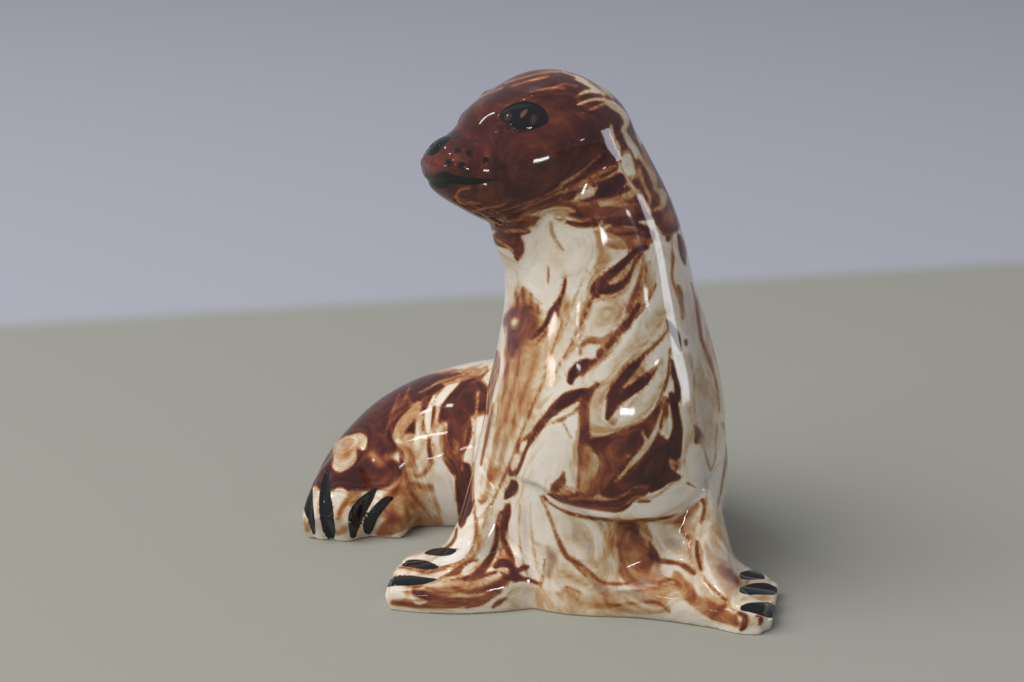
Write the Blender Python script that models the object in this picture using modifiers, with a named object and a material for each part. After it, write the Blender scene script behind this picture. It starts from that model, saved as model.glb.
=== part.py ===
"""Glazed ceramic seal figurine, cast in one piece.

The seal sits up on its front flippers. Its chest faces -Y, its head is turned to its right and its
hindquarters curl round to its right, so that the hind flippers lie beside the right front one.
It is hollow, as slip-cast ware is, with a round pour hole in its flat base. The flippers are solid.

Tables hold sections in millimetres. Lengths with a name of their own are in metres.
"""

import math

import bmesh
import bpy
import numpy as np
from mathutils import Matrix, Vector
from mathutils.bvhtree import BVHTree

MM = 0.001

# Casting
WALL = 5.0 * MM
POUR_HOLE_RADIUS = 9.0 * MM
POUR_HOLE_X = -10.0 * MM
POUR_HOLE_Y = 26.0 * MM

# How far the shapes reach below the base, which is cut flat at height 0
GROUND_DROP = 12.0 * MM
GROUND_SIDE = 400.0 * MM
FOOT_DROP = 6.0 * MM
FOOT_HEIGHT = 16.0 * MM

# Head: the middle of its skull, how far it turns from -Y towards -X, and how far it leans to its right
HEAD_X = -11.8 * MM
HEAD_Y = -2.1 * MM
HEAD_Z = 141.0 * MM
HEAD_TURN = math.radians(47.0)
HEAD_ROLL = math.radians(9.0)

# Face, measured from the middle of the skull: forward, to each side and up
EYE_FORWARD = 24.0 * MM
EYE_UP = 8.5 * MM
EYE_HALF_LENGTH = 7.0 * MM
EYE_HALF_HEIGHT = 4.4 * MM
EYE_SWELL = 1.5 * MM
EYE_TILT = math.radians(20.0)
EYELID_DEPTH = 0.6 * MM
EYELID_WIDTH = 1.1 * MM
BROW_RISE = 7.5 * MM
BROW_SWELL = 1.6 * MM
BROW_SOFTNESS = 3.2 * MM
SOCKET_DEPTH = 0.9 * MM
SOCKET_SOFTNESS = 4.0 * MM
NOSE_FORWARD = 43.5 * MM
NOSE_UP = 4.0 * MM
NOSE_SLOPE = math.radians(35.0)
NOSE_HALF_WIDTH = 5.0 * MM
NOSE_HALF_LENGTH = 4.0 * MM
NOSE_SWELL = 1.1 * MM
NOSTRIL_SIDE = 2.4 * MM
NOSTRIL_DEPTH = 0.8 * MM
NOSTRIL_RADIUS = 0.9 * MM
WHISKER_PAD_TURN = math.radians(38.0)
WHISKER_PAD_UP = -3.0 * MM
WHISKER_PAD_SWELL = 1.0 * MM
WHISKER_PAD_SOFTNESS = 5.0 * MM
MUZZLE_MIDDLE = 30.0 * MM
MOUTH_UP = -8.0 * MM
MOUTH_CORNER_UP = -9.8 * MM
MOUTH_REACH = math.radians(80.0)
MOUTH_DEPTH = 0.9 * MM
MOUTH_WIDTH = 1.3 * MM

# Chest
CHEST_OVERHANG = 1.6 * MM
CHEST_FADE = 14.0 * MM
CHEST_LIP = 2.2 * MM

# Toes
TOE_HEIGHT = 20.0 * MM
TOE_GROOVE_DEPTH = 1.3 * MM
TOE_GROOVE_WIDTH = 1.6 * MM

# Meshing
RING_POINTS = 36
RINGS_PER_ROW = 4
PATH_POINTS = 25
ROUGH_VOXEL = 1.9 * MM
ROUGH_SMOOTHING = 14
FINE_VOXEL = 1.0 * MM
FINE_SMOOTHING = 8
CAVITY_VOXEL = 2.5 * MM
CAVITY_TRIANGLES = 800
BODY_TRIANGLES = 9000
BASE_FLATNESS = 0.05 * MM

# Neck and chest, as level sections:
# height, centre x, centre y, half-width, reach to the front, reach to the back
COLUMN = (
    (-8.0, 0.0, 2.0, 37.0, 33.5, 34.0),
    (0.0, 0.0, 2.0, 37.5, 35.0, 40.0),
    (10.0, 0.0, 3.0, 36.5, 35.0, 46.0),
    (22.0, 0.3, 4.0, 36.5, 35.5, 50.0),
    (34.0, 0.8, 4.5, 37.5, 37.5, 48.0),
    (46.6, 1.2, 4.0, 38.0, 39.5, 42.0),
    (60.0, 1.5, 3.0, 37.0, 39.5, 35.5),
    (75.0, 1.5, 2.5, 33.7, 36.5, 31.5),
    (88.0, 0.6, 2.0, 30.5, 32.5, 29.5),
    (99.0, -1.0, 1.5, 28.9, 29.3, 28.5),
    (110.0, -3.2, 1.0, 28.6, 27.2, 27.5),
    (122.0, -6.0, 0.0, 27.2, 25.8, 26.0),
    (133.0, -9.0, -1.0, 24.8, 24.3, 24.3),
    (144.0, -11.3, -1.5, 20.8, 20.8, 20.3),
    (153.0, -12.5, -2.0, 14.5, 14.5, 13.5),
    (158.5, -13.0, -2.0, 6.0, 6.0, 6.0),
)

# Throat: fills the corner between the jaw and the neck
THROAT_CENTRE = (-18.2, -9.0, 114.5)
THROAT_RADII = (14.2, 14.2, 14.2)

# Head, as sections across its forward direction:
# forward, up, half-width, reach up, reach down
HEAD = (
    (-20.0, 0.0, 6.0, 4.0, 4.0),
    (-17.0, 0.0, 14.0, 10.0, 12.0),
    (-10.0, 0.0, 20.5, 16.0, 18.0),
    (0.0, 0.0, 23.8, 20.5, 21.0),
    (10.0, 0.0, 24.0, 20.8, 23.0),
    (19.0, -1.0, 21.8, 18.2, 23.5),
    (26.0, -2.5, 18.6, 17.0, 20.5),
    (31.0, -4.0, 15.3, 14.8, 16.8),
    (35.5, -4.8, 12.4, 11.0, 13.2),
    (40.0, -4.8, 11.6, 9.6, 10.4),
    (44.0, -4.6, 9.2, 7.4, 7.8),
    (47.0, -4.2, 5.0, 4.0, 4.2),
)

# Loins, rump and tail, as upright sections across their path:
# centre x, centre y, half-width, height of the top, height of the middle
HINDQUARTERS = (
    (21.0, 4.0, 16.0, 56.0, 30.0),
    (15.0, 20.0, 26.0, 62.0, 30.0),
    (4.0, 34.0, 32.0, 61.0, 28.0),
    (-12.0, 48.0, 33.5, 57.5, 26.0),
    (-32.0, 57.0, 32.0, 54.2, 24.0),
    (-52.0, 59.0, 29.5, 49.8, 21.0),
    (-70.0, 54.0, 26.0, 44.0, 18.0),
    (-84.0, 47.0, 20.5, 35.0, 14.0),
    (-94.0, 41.0, 14.5, 23.5, 10.0),
    (-99.5, 37.0, 8.0, 14.0, 6.0),
)

# Front flippers, from the shoulder to the tips, as sections across their path:
# centre x, centre y, centre z, half-width from front to back, half-thickness
RIGHT_ARM = (
    (-22.0, 0.0, 64.0, 12.0, 10.0),
    (-26.0, -2.0, 48.0, 15.0, 10.5),
    (-29.5, -5.0, 32.0, 17.0, 10.0),
    (-34.0, -11.0, 18.0, 17.0, 9.0),
    (-41.0, -15.5, 9.0, 18.5, 7.0),
)
RIGHT_HAND = (
    (-34.0, -13.5, 12.0, 17.5, 7.0),
    (-42.0, -16.5, 7.0, 18.5, 6.0),
    (-50.0, -17.5, 4.5, 19.5, 5.2),
    (-57.0, -18.5, 3.2, 18.5, 4.4),
    (-61.0, -20.0, 2.6, 15.5, 3.4),
)
LEFT_ARM = (
    (22.0, 3.0, 64.0, 12.0, 10.0),
    (25.5, 2.0, 48.0, 15.0, 11.0),
    (27.0, -1.0, 32.0, 17.0, 10.5),
    (31.5, -5.5, 18.0, 19.0, 9.5),
    (37.5, -11.0, 10.0, 20.0, 7.5),
)
LEFT_HAND = (
    (32.5, -9.0, 13.0, 18.0, 7.0),
    (38.5, -12.5, 8.0, 19.5, 6.5),
    (45.0, -16.0, 4.5, 20.0, 5.0),
    (52.0, -18.0, 3.2, 18.5, 4.4),
    (57.5, -19.5, 2.6, 15.0, 3.4),
)

# Thick leading edges of the front flippers, and the web that fills the base beside the left one
RIGHT_LEADING_EDGE = (
    (-14.0, -20.0, 14.0, 6.0, 7.0),
    (-26.0, -28.0, 7.5, 6.5, 6.5),
    (-38.0, -32.0, 5.0, 6.5, 5.8),
    (-50.0, -33.0, 4.2, 6.2, 5.4),
    (-59.0, -33.0, 3.8, 5.4, 4.8),
)
LEFT_LEADING_EDGE = (
    (25.0, -5.0, 50.0, 4.5, 4.5),
    (31.0, -11.5, 34.0, 6.0, 5.5),
    (36.5, -20.5, 19.0, 6.5, 5.8),
    (41.5, -28.0, 9.5, 6.0, 5.8),
    (48.5, -33.0, 5.0, 5.6, 5.4),
    (55.0, -33.5, 3.8, 4.8, 4.6),
)
LEFT_WEB = (
    (6.0, -19.0, 7.0, 13.5, 8.0),
    (22.0, -20.5, 7.0, 13.5, 8.0),
    (34.0, -23.5, 6.0, 12.0, 7.0),
    (44.0, -27.0, 4.0, 10.0, 5.5),
)

# Hind flippers, from the rump to the toes: centre x, y, z, half-width from side to side, half-thickness
HIND_FLIPPERS = (
    (
        (-85.0, 46.0, 18.0, 10.0, 12.0),
        (-89.0, 36.0, 13.5, 10.5, 11.5),
        (-90.5, 27.0, 10.0, 10.8, 9.8),
        (-90.8, 19.0, 6.0, 10.5, 8.0),
        (-90.8, 14.5, 4.0, 9.0, 6.0),
    ),
    (
        (-71.0, 50.0, 18.0, 10.0, 12.0),
        (-73.5, 42.0, 13.0, 10.5, 11.0),
        (-75.5, 34.0, 9.5, 10.8, 9.5),
        (-76.0, 26.5, 6.0, 10.2, 7.8),
        (-76.5, 20.5, 4.0, 8.5, 6.0),
    ),
)

# Lower edge of the chest, where it overhangs the base between the front flippers: x and z
CHEST_EDGE = (
    (-14.0, 40.0),
    (-8.0, 37.0),
    (3.0, 31.0),
    (13.0, 29.0),
    (24.0, 31.0),
    (33.0, 36.0),
    (37.0, 41.0),
)

# Grooves between the front toes: x and y at the palm, x and y just past the tip
FRONT_TOE_GROOVES = (
    (-46.9, -27.5, -63.0, -24.6),
    (-46.6, -18.5, -62.5, -12.5),
    (-44.8, -5.6, -58.0, 0.5),
    (46.5, -12.5, 58.0, -3.5),
    (46.5, -20.0, 60.0, -13.5),
    (46.5, -27.5, 60.0, -24.0),
)

# Grooves between the hind toes: x and z at the top, x and z at the ground
HIND_TOE_GROOVES = (
    (-99.5, 15.0, -97.0, 0.5),
    (-94.5, 20.0, -91.0, 0.5),
    (-78.5, 14.0, -83.0, 0.5),
    (-73.5, 11.0, -77.5, 0.5),
)


def in_between(rows, steps):
    """Rows of numbers with steps rows for each one given, on a smooth curve through them."""
    table = np.array(rows, float)
    padded = np.vstack([2 * table[0] - table[1], table, 2 * table[-1] - table[-2]])
    smooth = []
    for i in range(1, len(table)):
        p0, p1, p2, p3 = padded[i - 1 : i + 3]
        for step in range(steps):
            t = step / steps
            smooth.append(
                0.5
                * (
                    2 * p1
                    + (p2 - p0) * t
                    + (2 * p0 - 5 * p1 + 4 * p2 - p3) * t**2
                    + (3 * p1 - p0 - 3 * p2 + p3) * t**3
                )
            )
    smooth.append(table[-1])
    return smooth


def ring(centre, side, up, half_width, reach_up, reach_down):
    """Points round an egg-shaped section, in the plane of the directions side and up."""
    points = []
    for i in range(RING_POINTS):
        angle = 2 * math.pi * i / RING_POINTS
        rise = math.sin(angle) * (reach_up if math.sin(angle) > 0 else reach_down)
        points.append(centre + side * (half_width * math.cos(angle)) + up * rise)
    return points


def add_loft(bm, rings):
    """Adds a closed skin through the rings, with a point at the middle of each end."""
    rows = [[bm.verts.new(point) for point in points] for points in rings]
    for low, high in zip(rows, rows[1:]):
        for i in range(RING_POINTS):
            j = (i + 1) % RING_POINTS
            bm.faces.new((low[i], low[j], high[j], high[i]))
    for row, order in ((rows[0], -1), (rows[-1], 1)):
        middle = bm.verts.new(sum((v.co for v in row), Vector()) / RING_POINTS)
        for i in range(RING_POINTS):
            pair = (row[i], row[(i + 1) % RING_POINTS])[::order]
            bm.faces.new((*pair, middle))


def add_ellipsoid(bm, centre, radii):
    """Adds an ellipsoid, with its centre and radii in millimetres."""
    bmesh.ops.create_uvsphere(
        bm,
        u_segments=RING_POINTS,
        v_segments=RING_POINTS // 2,
        radius=MM,
        matrix=Matrix.Translation(Vector(centre) * MM) @ Matrix.Diagonal((*radii, 1.0)),
    )


def column_rings(inset=0.0):
    """Level sections of the neck and chest, taken in by inset."""
    rings = []
    for row in in_between(COLUMN, RINGS_PER_ROW):
        height, x, y, half_width, front, back = (value * MM for value in row)
        if min(half_width, front, back) > 2 * inset:
            rings.append(
                ring(
                    Vector((x, y, height)),
                    Vector((1, 0, 0)),
                    Vector((0, 1, 0)),
                    half_width - inset,
                    back - inset,
                    front - inset,
                )
            )
    return rings


def hindquarters_rings(inset=0.0):
    """Upright sections of the loins, rump and tail, taken in by inset."""
    rows = in_between(HINDQUARTERS, RINGS_PER_ROW)
    rings = []
    for i, row in enumerate(rows):
        x, y, half_width, top, middle = (value * MM for value in row)
        before, after = rows[max(i - 1, 0)], rows[min(i + 1, len(rows) - 1)]
        side = Vector((after[1] - before[1], before[0] - after[0], 0)).normalized()
        if min(half_width, top - middle) > 2 * inset:
            rings.append(
                ring(
                    Vector((x, y, middle)),
                    side,
                    Vector((0, 0, 1)),
                    half_width - inset,
                    top - middle - inset,
                    middle + GROUND_DROP,
                )
            )
    return rings


def head_frame():
    """The head's own directions: X forward, Y to its left and Z up."""
    turn = Matrix.Rotation(-math.pi / 2 - HEAD_TURN, 4, "Z")
    roll = Matrix.Rotation(HEAD_ROLL, 4, "X")
    return Matrix.Translation((HEAD_X, HEAD_Y, HEAD_Z)) @ turn @ roll


def head_rings():
    """Sections across the head's forward direction."""
    place = head_frame()
    side = place.to_3x3() @ Vector((0, -1, 0))
    up = place.to_3x3() @ Vector((0, 0, 1))
    rings = []
    for row in in_between(HEAD, RINGS_PER_ROW):
        forward, rise, half_width, reach_up, reach_down = (value * MM for value in row)
        centre = place @ Vector((forward, 0, rise))
        rings.append(ring(centre, side, up, half_width, reach_up, reach_down))
    return rings


def flipper_rings(rows, side):
    """Sections across a flipper's path, level in the direction side. Low ones reach into the ground."""
    table = in_between(rows, RINGS_PER_ROW)
    rings = []
    for i, row in enumerate(table):
        centre = Vector(row[:3]) * MM
        after = Vector(table[min(i + 1, len(table) - 1)][:3])
        before = Vector(table[max(i - 1, 0)][:3])
        up = side.cross(after - before).normalized()
        if up.z < 0:
            up.negate()
        half_width, half_thickness = row[3] * MM, row[4] * MM
        reach_down = half_thickness
        if centre.z < FOOT_HEIGHT:
            reach_down = max(half_thickness, centre.z + FOOT_DROP)
        rings.append(ring(centre, side, up, half_width, half_thickness, reach_down))
    return rings


class Relief:
    """The skin as points that can be raised and carved, in metres."""

    def __init__(self, mesh):
        self.mesh = mesh
        self.points = np.empty((len(mesh.vertices), 3))
        self.normals = np.empty((len(mesh.vertices), 3))
        mesh.vertices.foreach_get("co", self.points.ravel())
        mesh.vertex_normals.foreach_get("vector", self.normals.ravel())
        skin = bmesh.new()
        skin.from_mesh(mesh)
        self.tree = BVHTree.FromBMesh(skin)
        skin.free()

    def hit(self, start, direction):
        """Where a ray meets the skin, and the skin's normal there, or None and None."""
        place, normal, _, _ = self.tree.ray_cast(start, direction)
        return place, normal

    def dome(self, centre, normal, along, half_length, half_width, height):
        """Raises an oval with a crisp rim. Along is the direction of its length."""
        across = normal.cross(along).normalized()
        along = across.cross(normal).normalized()
        away = self.points - np.array(centre)
        reach = np.hypot(away @ np.array(along) / half_length, away @ np.array(across) / half_width)
        near = np.abs(away @ np.array(normal)) < half_length
        rise = np.where(near, np.sqrt(np.clip(1 - reach**2, 0, None)), 0) * height
        self.points += self.normals * rise[:, None]

    def line(self, path, height, softness):
        """Raises a soft ridge along a path on the skin, or carves a groove where height is below 0."""
        nearest = np.full(len(self.points), np.inf)
        for a, b in zip(path, path[1:] if len(path) > 1 else path):
            a, b = np.array(a), np.array(b)
            length = max((b - a) @ (b - a), 1e-12)
            t = np.clip((self.points - a) @ (b - a) / length, 0, 1)
            away = self.points - (a + t[:, None] * (b - a))
            nearest = np.minimum(nearest, (away**2).sum(axis=1))
        self.points += self.normals * (height * np.exp(-nearest / softness**2))[:, None]

    def lip(self, path, height, fade):
        """Makes the skin above a path overhang what is below it. It fades out upwards and past both ends."""
        nearest = np.full(len(self.points), np.inf)
        level = np.zeros(len(self.points))
        aside = np.zeros(len(self.points))
        for point in np.array([tuple(point) for point in path]):
            away = self.points - point
            distance = (away**2).sum(axis=1)
            closer = distance < nearest
            nearest[closer] = distance[closer]
            level[closer] = point[2]
            aside[closer] = np.hypot(away[closer, 0], away[closer, 1])
        above = self.points[:, 2] - level
        step = np.clip(above / CHEST_LIP, 0, 1)
        rise = step * step * (3 - 2 * step) * np.exp(-((above / fade) ** 2) - (2 * aside / fade) ** 2)
        self.points += self.normals * (height * rise)[:, None]

    def apply(self):
        """Puts the points back into the mesh."""
        self.mesh.vertices.foreach_set("co", self.points.ravel())
        self.mesh.update()


def shape_face(skin):
    """Raises the eyes, brows, whisker pads and nose, and carves the mouth and nostrils."""
    place = head_frame()
    turned = place.to_3x3()
    forward = turned @ Vector((1, 0, 0))
    for side in (-1, 1):
        outward = turned @ Vector((0, side, 0))
        eye, eye_normal = skin.hit(place @ Vector((EYE_FORWARD, 0, EYE_UP)), outward)
        brow_points = (
            (-EYE_HALF_LENGTH, BROW_RISE - EYE_HALF_HEIGHT / 2),
            (0.0, BROW_RISE),
            (EYE_HALF_LENGTH, BROW_RISE - EYE_HALF_HEIGHT / 4),
            (EYE_HALF_LENGTH + BROW_SOFTNESS, BROW_RISE - EYE_HALF_HEIGHT),
        )
        brow = []
        for ahead, rise in brow_points:
            start = place @ Vector((EYE_FORWARD + ahead, 0, EYE_UP + rise))
            brow.append(skin.hit(start, outward)[0])
        skin.line([point for point in brow if point], BROW_SWELL, BROW_SOFTNESS)
        start = place @ Vector((EYE_FORWARD + EYE_HALF_LENGTH, 0, EYE_UP - EYE_HALF_HEIGHT / 2))
        skin.line([skin.hit(start, outward)[0]], -SOCKET_DEPTH, SOCKET_SOFTNESS)
        lid = []
        along = turned @ Vector((math.cos(EYE_TILT), 0, math.sin(EYE_TILT)))
        across = eye_normal.cross(along).normalized()
        for angle in np.linspace(0, 2 * math.pi, PATH_POINTS):
            ahead = along * (math.cos(angle) * (EYE_HALF_LENGTH + EYELID_WIDTH / 2))
            rise = across * (math.sin(angle) * (EYE_HALF_HEIGHT + EYELID_WIDTH / 2))
            lid.append(skin.hit(eye + ahead + rise + eye_normal * EYE_HALF_LENGTH, -eye_normal)[0])
        skin.dome(eye, eye_normal, along, EYE_HALF_LENGTH, EYE_HALF_HEIGHT, EYE_SWELL)
        skin.line([point for point in lid if point], -EYELID_DEPTH, EYELID_WIDTH)
        start = place @ Vector((MUZZLE_MIDDLE, 0, WHISKER_PAD_UP))
        aim = Vector((math.cos(WHISKER_PAD_TURN), side * math.sin(WHISKER_PAD_TURN), 0))
        pad = skin.hit(start, turned @ aim)[0]
        skin.line([pad], WHISKER_PAD_SWELL, WHISKER_PAD_SOFTNESS)
    inward = turned @ Vector((-math.sin(NOSE_SLOPE), 0, -math.cos(NOSE_SLOPE)))
    outside = place @ Vector((NOSE_FORWARD, 0, NOSE_UP)) - inward * HEAD_Z
    nose, nose_normal = skin.hit(outside, inward)
    skin.dome(
        nose, nose_normal, turned @ Vector((0, 1, 0)), NOSE_HALF_WIDTH, NOSE_HALF_LENGTH, NOSE_SWELL
    )
    for side in (-1, 1):
        start = place @ Vector((MUZZLE_MIDDLE, side * NOSTRIL_SIDE, NOSE_UP - NOSE_HALF_LENGTH / 2))
        skin.line([skin.hit(start, forward)[0]], -NOSTRIL_DEPTH, NOSTRIL_RADIUS)
    mouth = []
    for angle in np.linspace(-MOUTH_REACH, MOUTH_REACH, PATH_POINTS):
        drop = (1 - math.cos(angle)) * (MOUTH_CORNER_UP - MOUTH_UP)
        start = place @ Vector((MUZZLE_MIDDLE, 0, MOUTH_UP + drop))
        mouth.append(skin.hit(start, turned @ Vector((math.cos(angle), math.sin(angle), 0)))[0])
    skin.line(mouth, -MOUTH_DEPTH, MOUTH_WIDTH)


def shape_chest(skin):
    """Gives the chest its lower edge, which overhangs the base."""
    edge = []
    for x, z in in_between(CHEST_EDGE, RINGS_PER_ROW**2):
        start = Vector((x * MM, -HEAD_Z, z * MM))
        edge.append(skin.hit(start, Vector((0, 1, 0)))[0])
    skin.lip(edge, CHEST_OVERHANG, CHEST_FADE)


def shape_toes(skin):
    """Carves the grooves between the toes."""
    for x0, y0, x1, y1 in FRONT_TOE_GROOVES:
        groove = []
        for t in np.linspace(0, 1, PATH_POINTS):
            x, y = (x0 + (x1 - x0) * t) * MM, (y0 + (y1 - y0) * t) * MM
            place, _ = skin.hit(Vector((x, y, TOE_HEIGHT)), Vector((0, 0, -1)))
            groove.append(place or Vector((x, y, TOE_GROOVE_WIDTH)))
        skin.line(groove, -TOE_GROOVE_DEPTH, TOE_GROOVE_WIDTH)
    for x0, z0, x1, z1 in HIND_TOE_GROOVES:
        groove = []
        for t in np.linspace(0, 1, PATH_POINTS):
            start = Vector((x0 + (x1 - x0) * t, 0, z0 + (z1 - z0) * t)) * MM
            place, _ = skin.hit(start, Vector((0, 1, 0)))
            if place:
                groove.append(place)
        skin.line(groove, -TOE_GROOVE_DEPTH, TOE_GROOVE_WIDTH)


def new_object(name, bm, collection):
    """An object in collection that holds what bm does, with its faces turned outwards."""
    bmesh.ops.recalc_face_normals(bm, faces=bm.faces)
    mesh = bpy.data.meshes.new(name)
    bm.to_mesh(mesh)
    bm.free()
    obj = bpy.data.objects.new(name, mesh)
    collection.objects.link(obj)
    return obj


def add_modifier(obj, kind, **settings):
    """Adds a modifier of that kind with those settings."""
    modifier = obj.modifiers.new(kind.title(), kind)
    for key, value in settings.items():
        setattr(modifier, key, value)


def bake(obj):
    """Puts the object's modifiers into its mesh."""
    graph = bpy.context.evaluated_depsgraph_get()
    mesh = bpy.data.meshes.new_from_object(obj.evaluated_get(graph))
    obj.modifiers.clear()
    obj.data = mesh


def make_collection(name):
    """A new collection in the scene."""
    collection = bpy.data.collections.new(name)
    bpy.context.scene.collection.children.link(collection)
    return collection


def make_cutter(name, bm, collection):
    """An object that only cuts others, so it isn't rendered."""
    cutter = new_object(name, bm, collection)
    cutter.hide_render = True
    cutter.display_type = "WIRE"
    return cutter


def make_glaze():
    """Clear gloss glaze over cream and brown clay, as one mean colour."""
    material = bpy.data.materials.new("marbled_glazed_ceramic")
    material.use_nodes = True
    shader = material.node_tree.nodes["Principled BSDF"]
    shader.inputs["Base Color"].default_value = (0.42, 0.21, 0.12, 1.0)
    shader.inputs["Roughness"].default_value = 0.12
    shader.inputs["Metallic"].default_value = 0.0
    return material


def make_rough_body(collection):
    """The whole seal as blended masses, with no small forms yet."""
    rough = bmesh.new()
    add_loft(rough, column_rings())
    add_loft(rough, hindquarters_rings())
    add_loft(rough, head_rings())
    add_ellipsoid(rough, THROAT_CENTRE, THROAT_RADII)
    for rows in (RIGHT_ARM, LEFT_ARM, RIGHT_HAND, LEFT_HAND, LEFT_WEB):
        add_loft(rough, flipper_rings(rows, Vector((0, 1, 0))))
    for rows in HIND_FLIPPERS:
        add_loft(rough, flipper_rings(rows, Vector((1, 0, 0))))
    seal = new_object("seal_body", rough, collection)
    add_modifier(seal, "REMESH", mode="VOXEL", voxel_size=ROUGH_VOXEL)
    add_modifier(seal, "SMOOTH", factor=0.5, iterations=ROUGH_SMOOTHING)
    bake(seal)
    return seal


def add_small_forms(seal):
    """Adds the flippers at their full size, then shapes the chest, the face and the toes."""
    fine = bmesh.new()
    fine.from_mesh(seal.data)
    for rows in (RIGHT_HAND, LEFT_HAND, RIGHT_LEADING_EDGE, LEFT_LEADING_EDGE):
        add_loft(fine, flipper_rings(rows, Vector((0, 1, 0))))
    for rows in HIND_FLIPPERS:
        add_loft(fine, flipper_rings(rows, Vector((1, 0, 0))))
    bmesh.ops.recalc_face_normals(fine, faces=fine.faces)
    fine.to_mesh(seal.data)
    fine.free()
    add_modifier(seal, "REMESH", mode="VOXEL", voxel_size=FINE_VOXEL)
    add_modifier(seal, "SMOOTH", factor=0.5, iterations=FINE_SMOOTHING)
    bake(seal)
    skin = Relief(seal.data)
    shape_chest(skin)
    shape_face(skin)
    shape_toes(skin)
    skin.apply()


def thin_out(seal):
    """Leaves about BODY_TRIANGLES triangles, with the base still flat."""
    add_modifier(seal, "DECIMATE", ratio=BODY_TRIANGLES / (2 * len(seal.data.polygons)))
    bake(seal)
    for vertex in seal.data.vertices:
        if abs(vertex.co.z) < BASE_FLATNESS:
            vertex.co.z = 0.0


def make_ground(name, height, collection):
    """A cutter that takes away everything below height."""
    ground = bmesh.new()
    middle = Matrix.Translation((0, 0, height - GROUND_SIDE / 2))
    bmesh.ops.create_cube(ground, size=GROUND_SIDE, matrix=middle)
    return make_cutter(name, ground, collection)


def make_cavity(collection):
    """The hollow inside the neck, chest and hindquarters, one wall in from the outside."""
    inside = bmesh.new()
    add_loft(inside, column_rings(WALL))
    add_loft(inside, hindquarters_rings(WALL))
    cavity = make_cutter("cavity", inside, collection)
    add_modifier(cavity, "REMESH", mode="VOXEL", voxel_size=CAVITY_VOXEL)
    add_modifier(cavity, "SMOOTH", factor=0.5, iterations=FINE_SMOOTHING)
    bake(cavity)
    ratio = CAVITY_TRIANGLES / (2 * len(cavity.data.polygons))
    add_modifier(cavity, "DECIMATE", ratio=ratio)
    floor = make_ground("cavity_floor", WALL, collection)
    add_modifier(cavity, "BOOLEAN", operation="DIFFERENCE", object=floor)
    return cavity


def make_pour_hole(collection):
    """The round hole through the base, where the slip was poured in and out."""
    hole = bmesh.new()
    bmesh.ops.create_cone(
        hole,
        cap_ends=True,
        segments=RING_POINTS,
        radius1=POUR_HOLE_RADIUS,
        radius2=POUR_HOLE_RADIUS,
        depth=4 * WALL,
        matrix=Matrix.Translation((POUR_HOLE_X, POUR_HOLE_Y, 0)),
    )
    return make_cutter("pour_hole", hole, collection)


def main():
    for obj in list(bpy.data.objects):
        bpy.data.objects.remove(obj)
    figurine = make_collection("seal_figurine")
    cutters = make_collection("cutters")
    seal = make_rough_body(figurine)
    add_small_forms(seal)
    ground = make_ground("ground", 0.0, cutters)
    add_modifier(seal, "BOOLEAN", operation="DIFFERENCE", object=ground)
    bake(seal)
    thin_out(seal)
    for cutter in (make_cavity(cutters), make_pour_hole(cutters)):
        add_modifier(seal, "BOOLEAN", operation="DIFFERENCE", object=cutter)
    seal.data.materials.append(make_glaze())
    seal.data.shade_smooth()


main()
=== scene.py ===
"""Looks of the seal figurine: one slip-cast piece, marbled in cream and red-brown slips under gloss glaze.

Sections and widths in the tables are in millimetres. The swirls of slip are drawn as brush strokes in the
pixels of the front view and laid on the casting from there, so that they stay on it in every other view.
"""

from __future__ import annotations

import logging
import math
from dataclasses import dataclass, field
from enum import Enum

import bmesh
import bpy
import numpy as np
from mathutils import Matrix, Vector, noise
from mathutils.bvhtree import BVHTree

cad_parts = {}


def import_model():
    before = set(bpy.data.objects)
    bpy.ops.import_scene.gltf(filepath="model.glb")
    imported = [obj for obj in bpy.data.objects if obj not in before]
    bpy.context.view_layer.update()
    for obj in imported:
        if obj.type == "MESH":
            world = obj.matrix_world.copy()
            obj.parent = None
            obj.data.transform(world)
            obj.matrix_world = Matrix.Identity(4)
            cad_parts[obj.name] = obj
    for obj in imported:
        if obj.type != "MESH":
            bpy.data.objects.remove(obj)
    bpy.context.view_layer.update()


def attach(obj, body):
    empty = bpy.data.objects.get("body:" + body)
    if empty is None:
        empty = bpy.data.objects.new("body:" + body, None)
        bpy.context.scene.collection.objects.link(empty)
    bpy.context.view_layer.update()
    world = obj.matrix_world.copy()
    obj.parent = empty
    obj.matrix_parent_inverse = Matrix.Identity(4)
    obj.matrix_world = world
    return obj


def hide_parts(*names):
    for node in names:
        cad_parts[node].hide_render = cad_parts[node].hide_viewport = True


MM = 0.001
RING_POINTS = 36  # in each section of a mass
RING_STEPS = 4  # sections that come out for each one given
STROKE_STEPS = 5  # points that come out for each one given
LOG = logging.getLogger("seal_figurine")
Rows = tuple[tuple[float, ...], ...]


class Slip(Enum):
    """The liquid clays of the marbling, from no iron in them to the most."""

    WHITE = 0.04
    CREAM = 0.12
    IVORY = 0.21
    SAND = 0.30
    TAN = 0.37
    OCHRE = 0.45
    AMBER = 0.52
    RUST = 0.60
    RUSSET = 0.68
    BROWN = 0.76
    DARK = 0.84
    DEEP = 0.92


WHITE, CREAM, IVORY, SAND, TAN, OCHRE, AMBER, RUST, RUSSET, BROWN, DARK, DEEP = Slip


def linear(colour: str) -> tuple[float, float, float, float]:
    """Turns an sRGB hex colour to linear.

    Args:
        colour: six hex digits after a hash.

    Returns:
        Red, green, blue and an alpha of 1.
    """
    parts = [int(colour[i : i + 2], 16) / 255 for i in (1, 3, 5)]
    return (*(c / 12.92 if c <= 0.04045 else ((c + 0.055) / 1.055) ** 2.4 for c in parts), 1.0)


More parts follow.
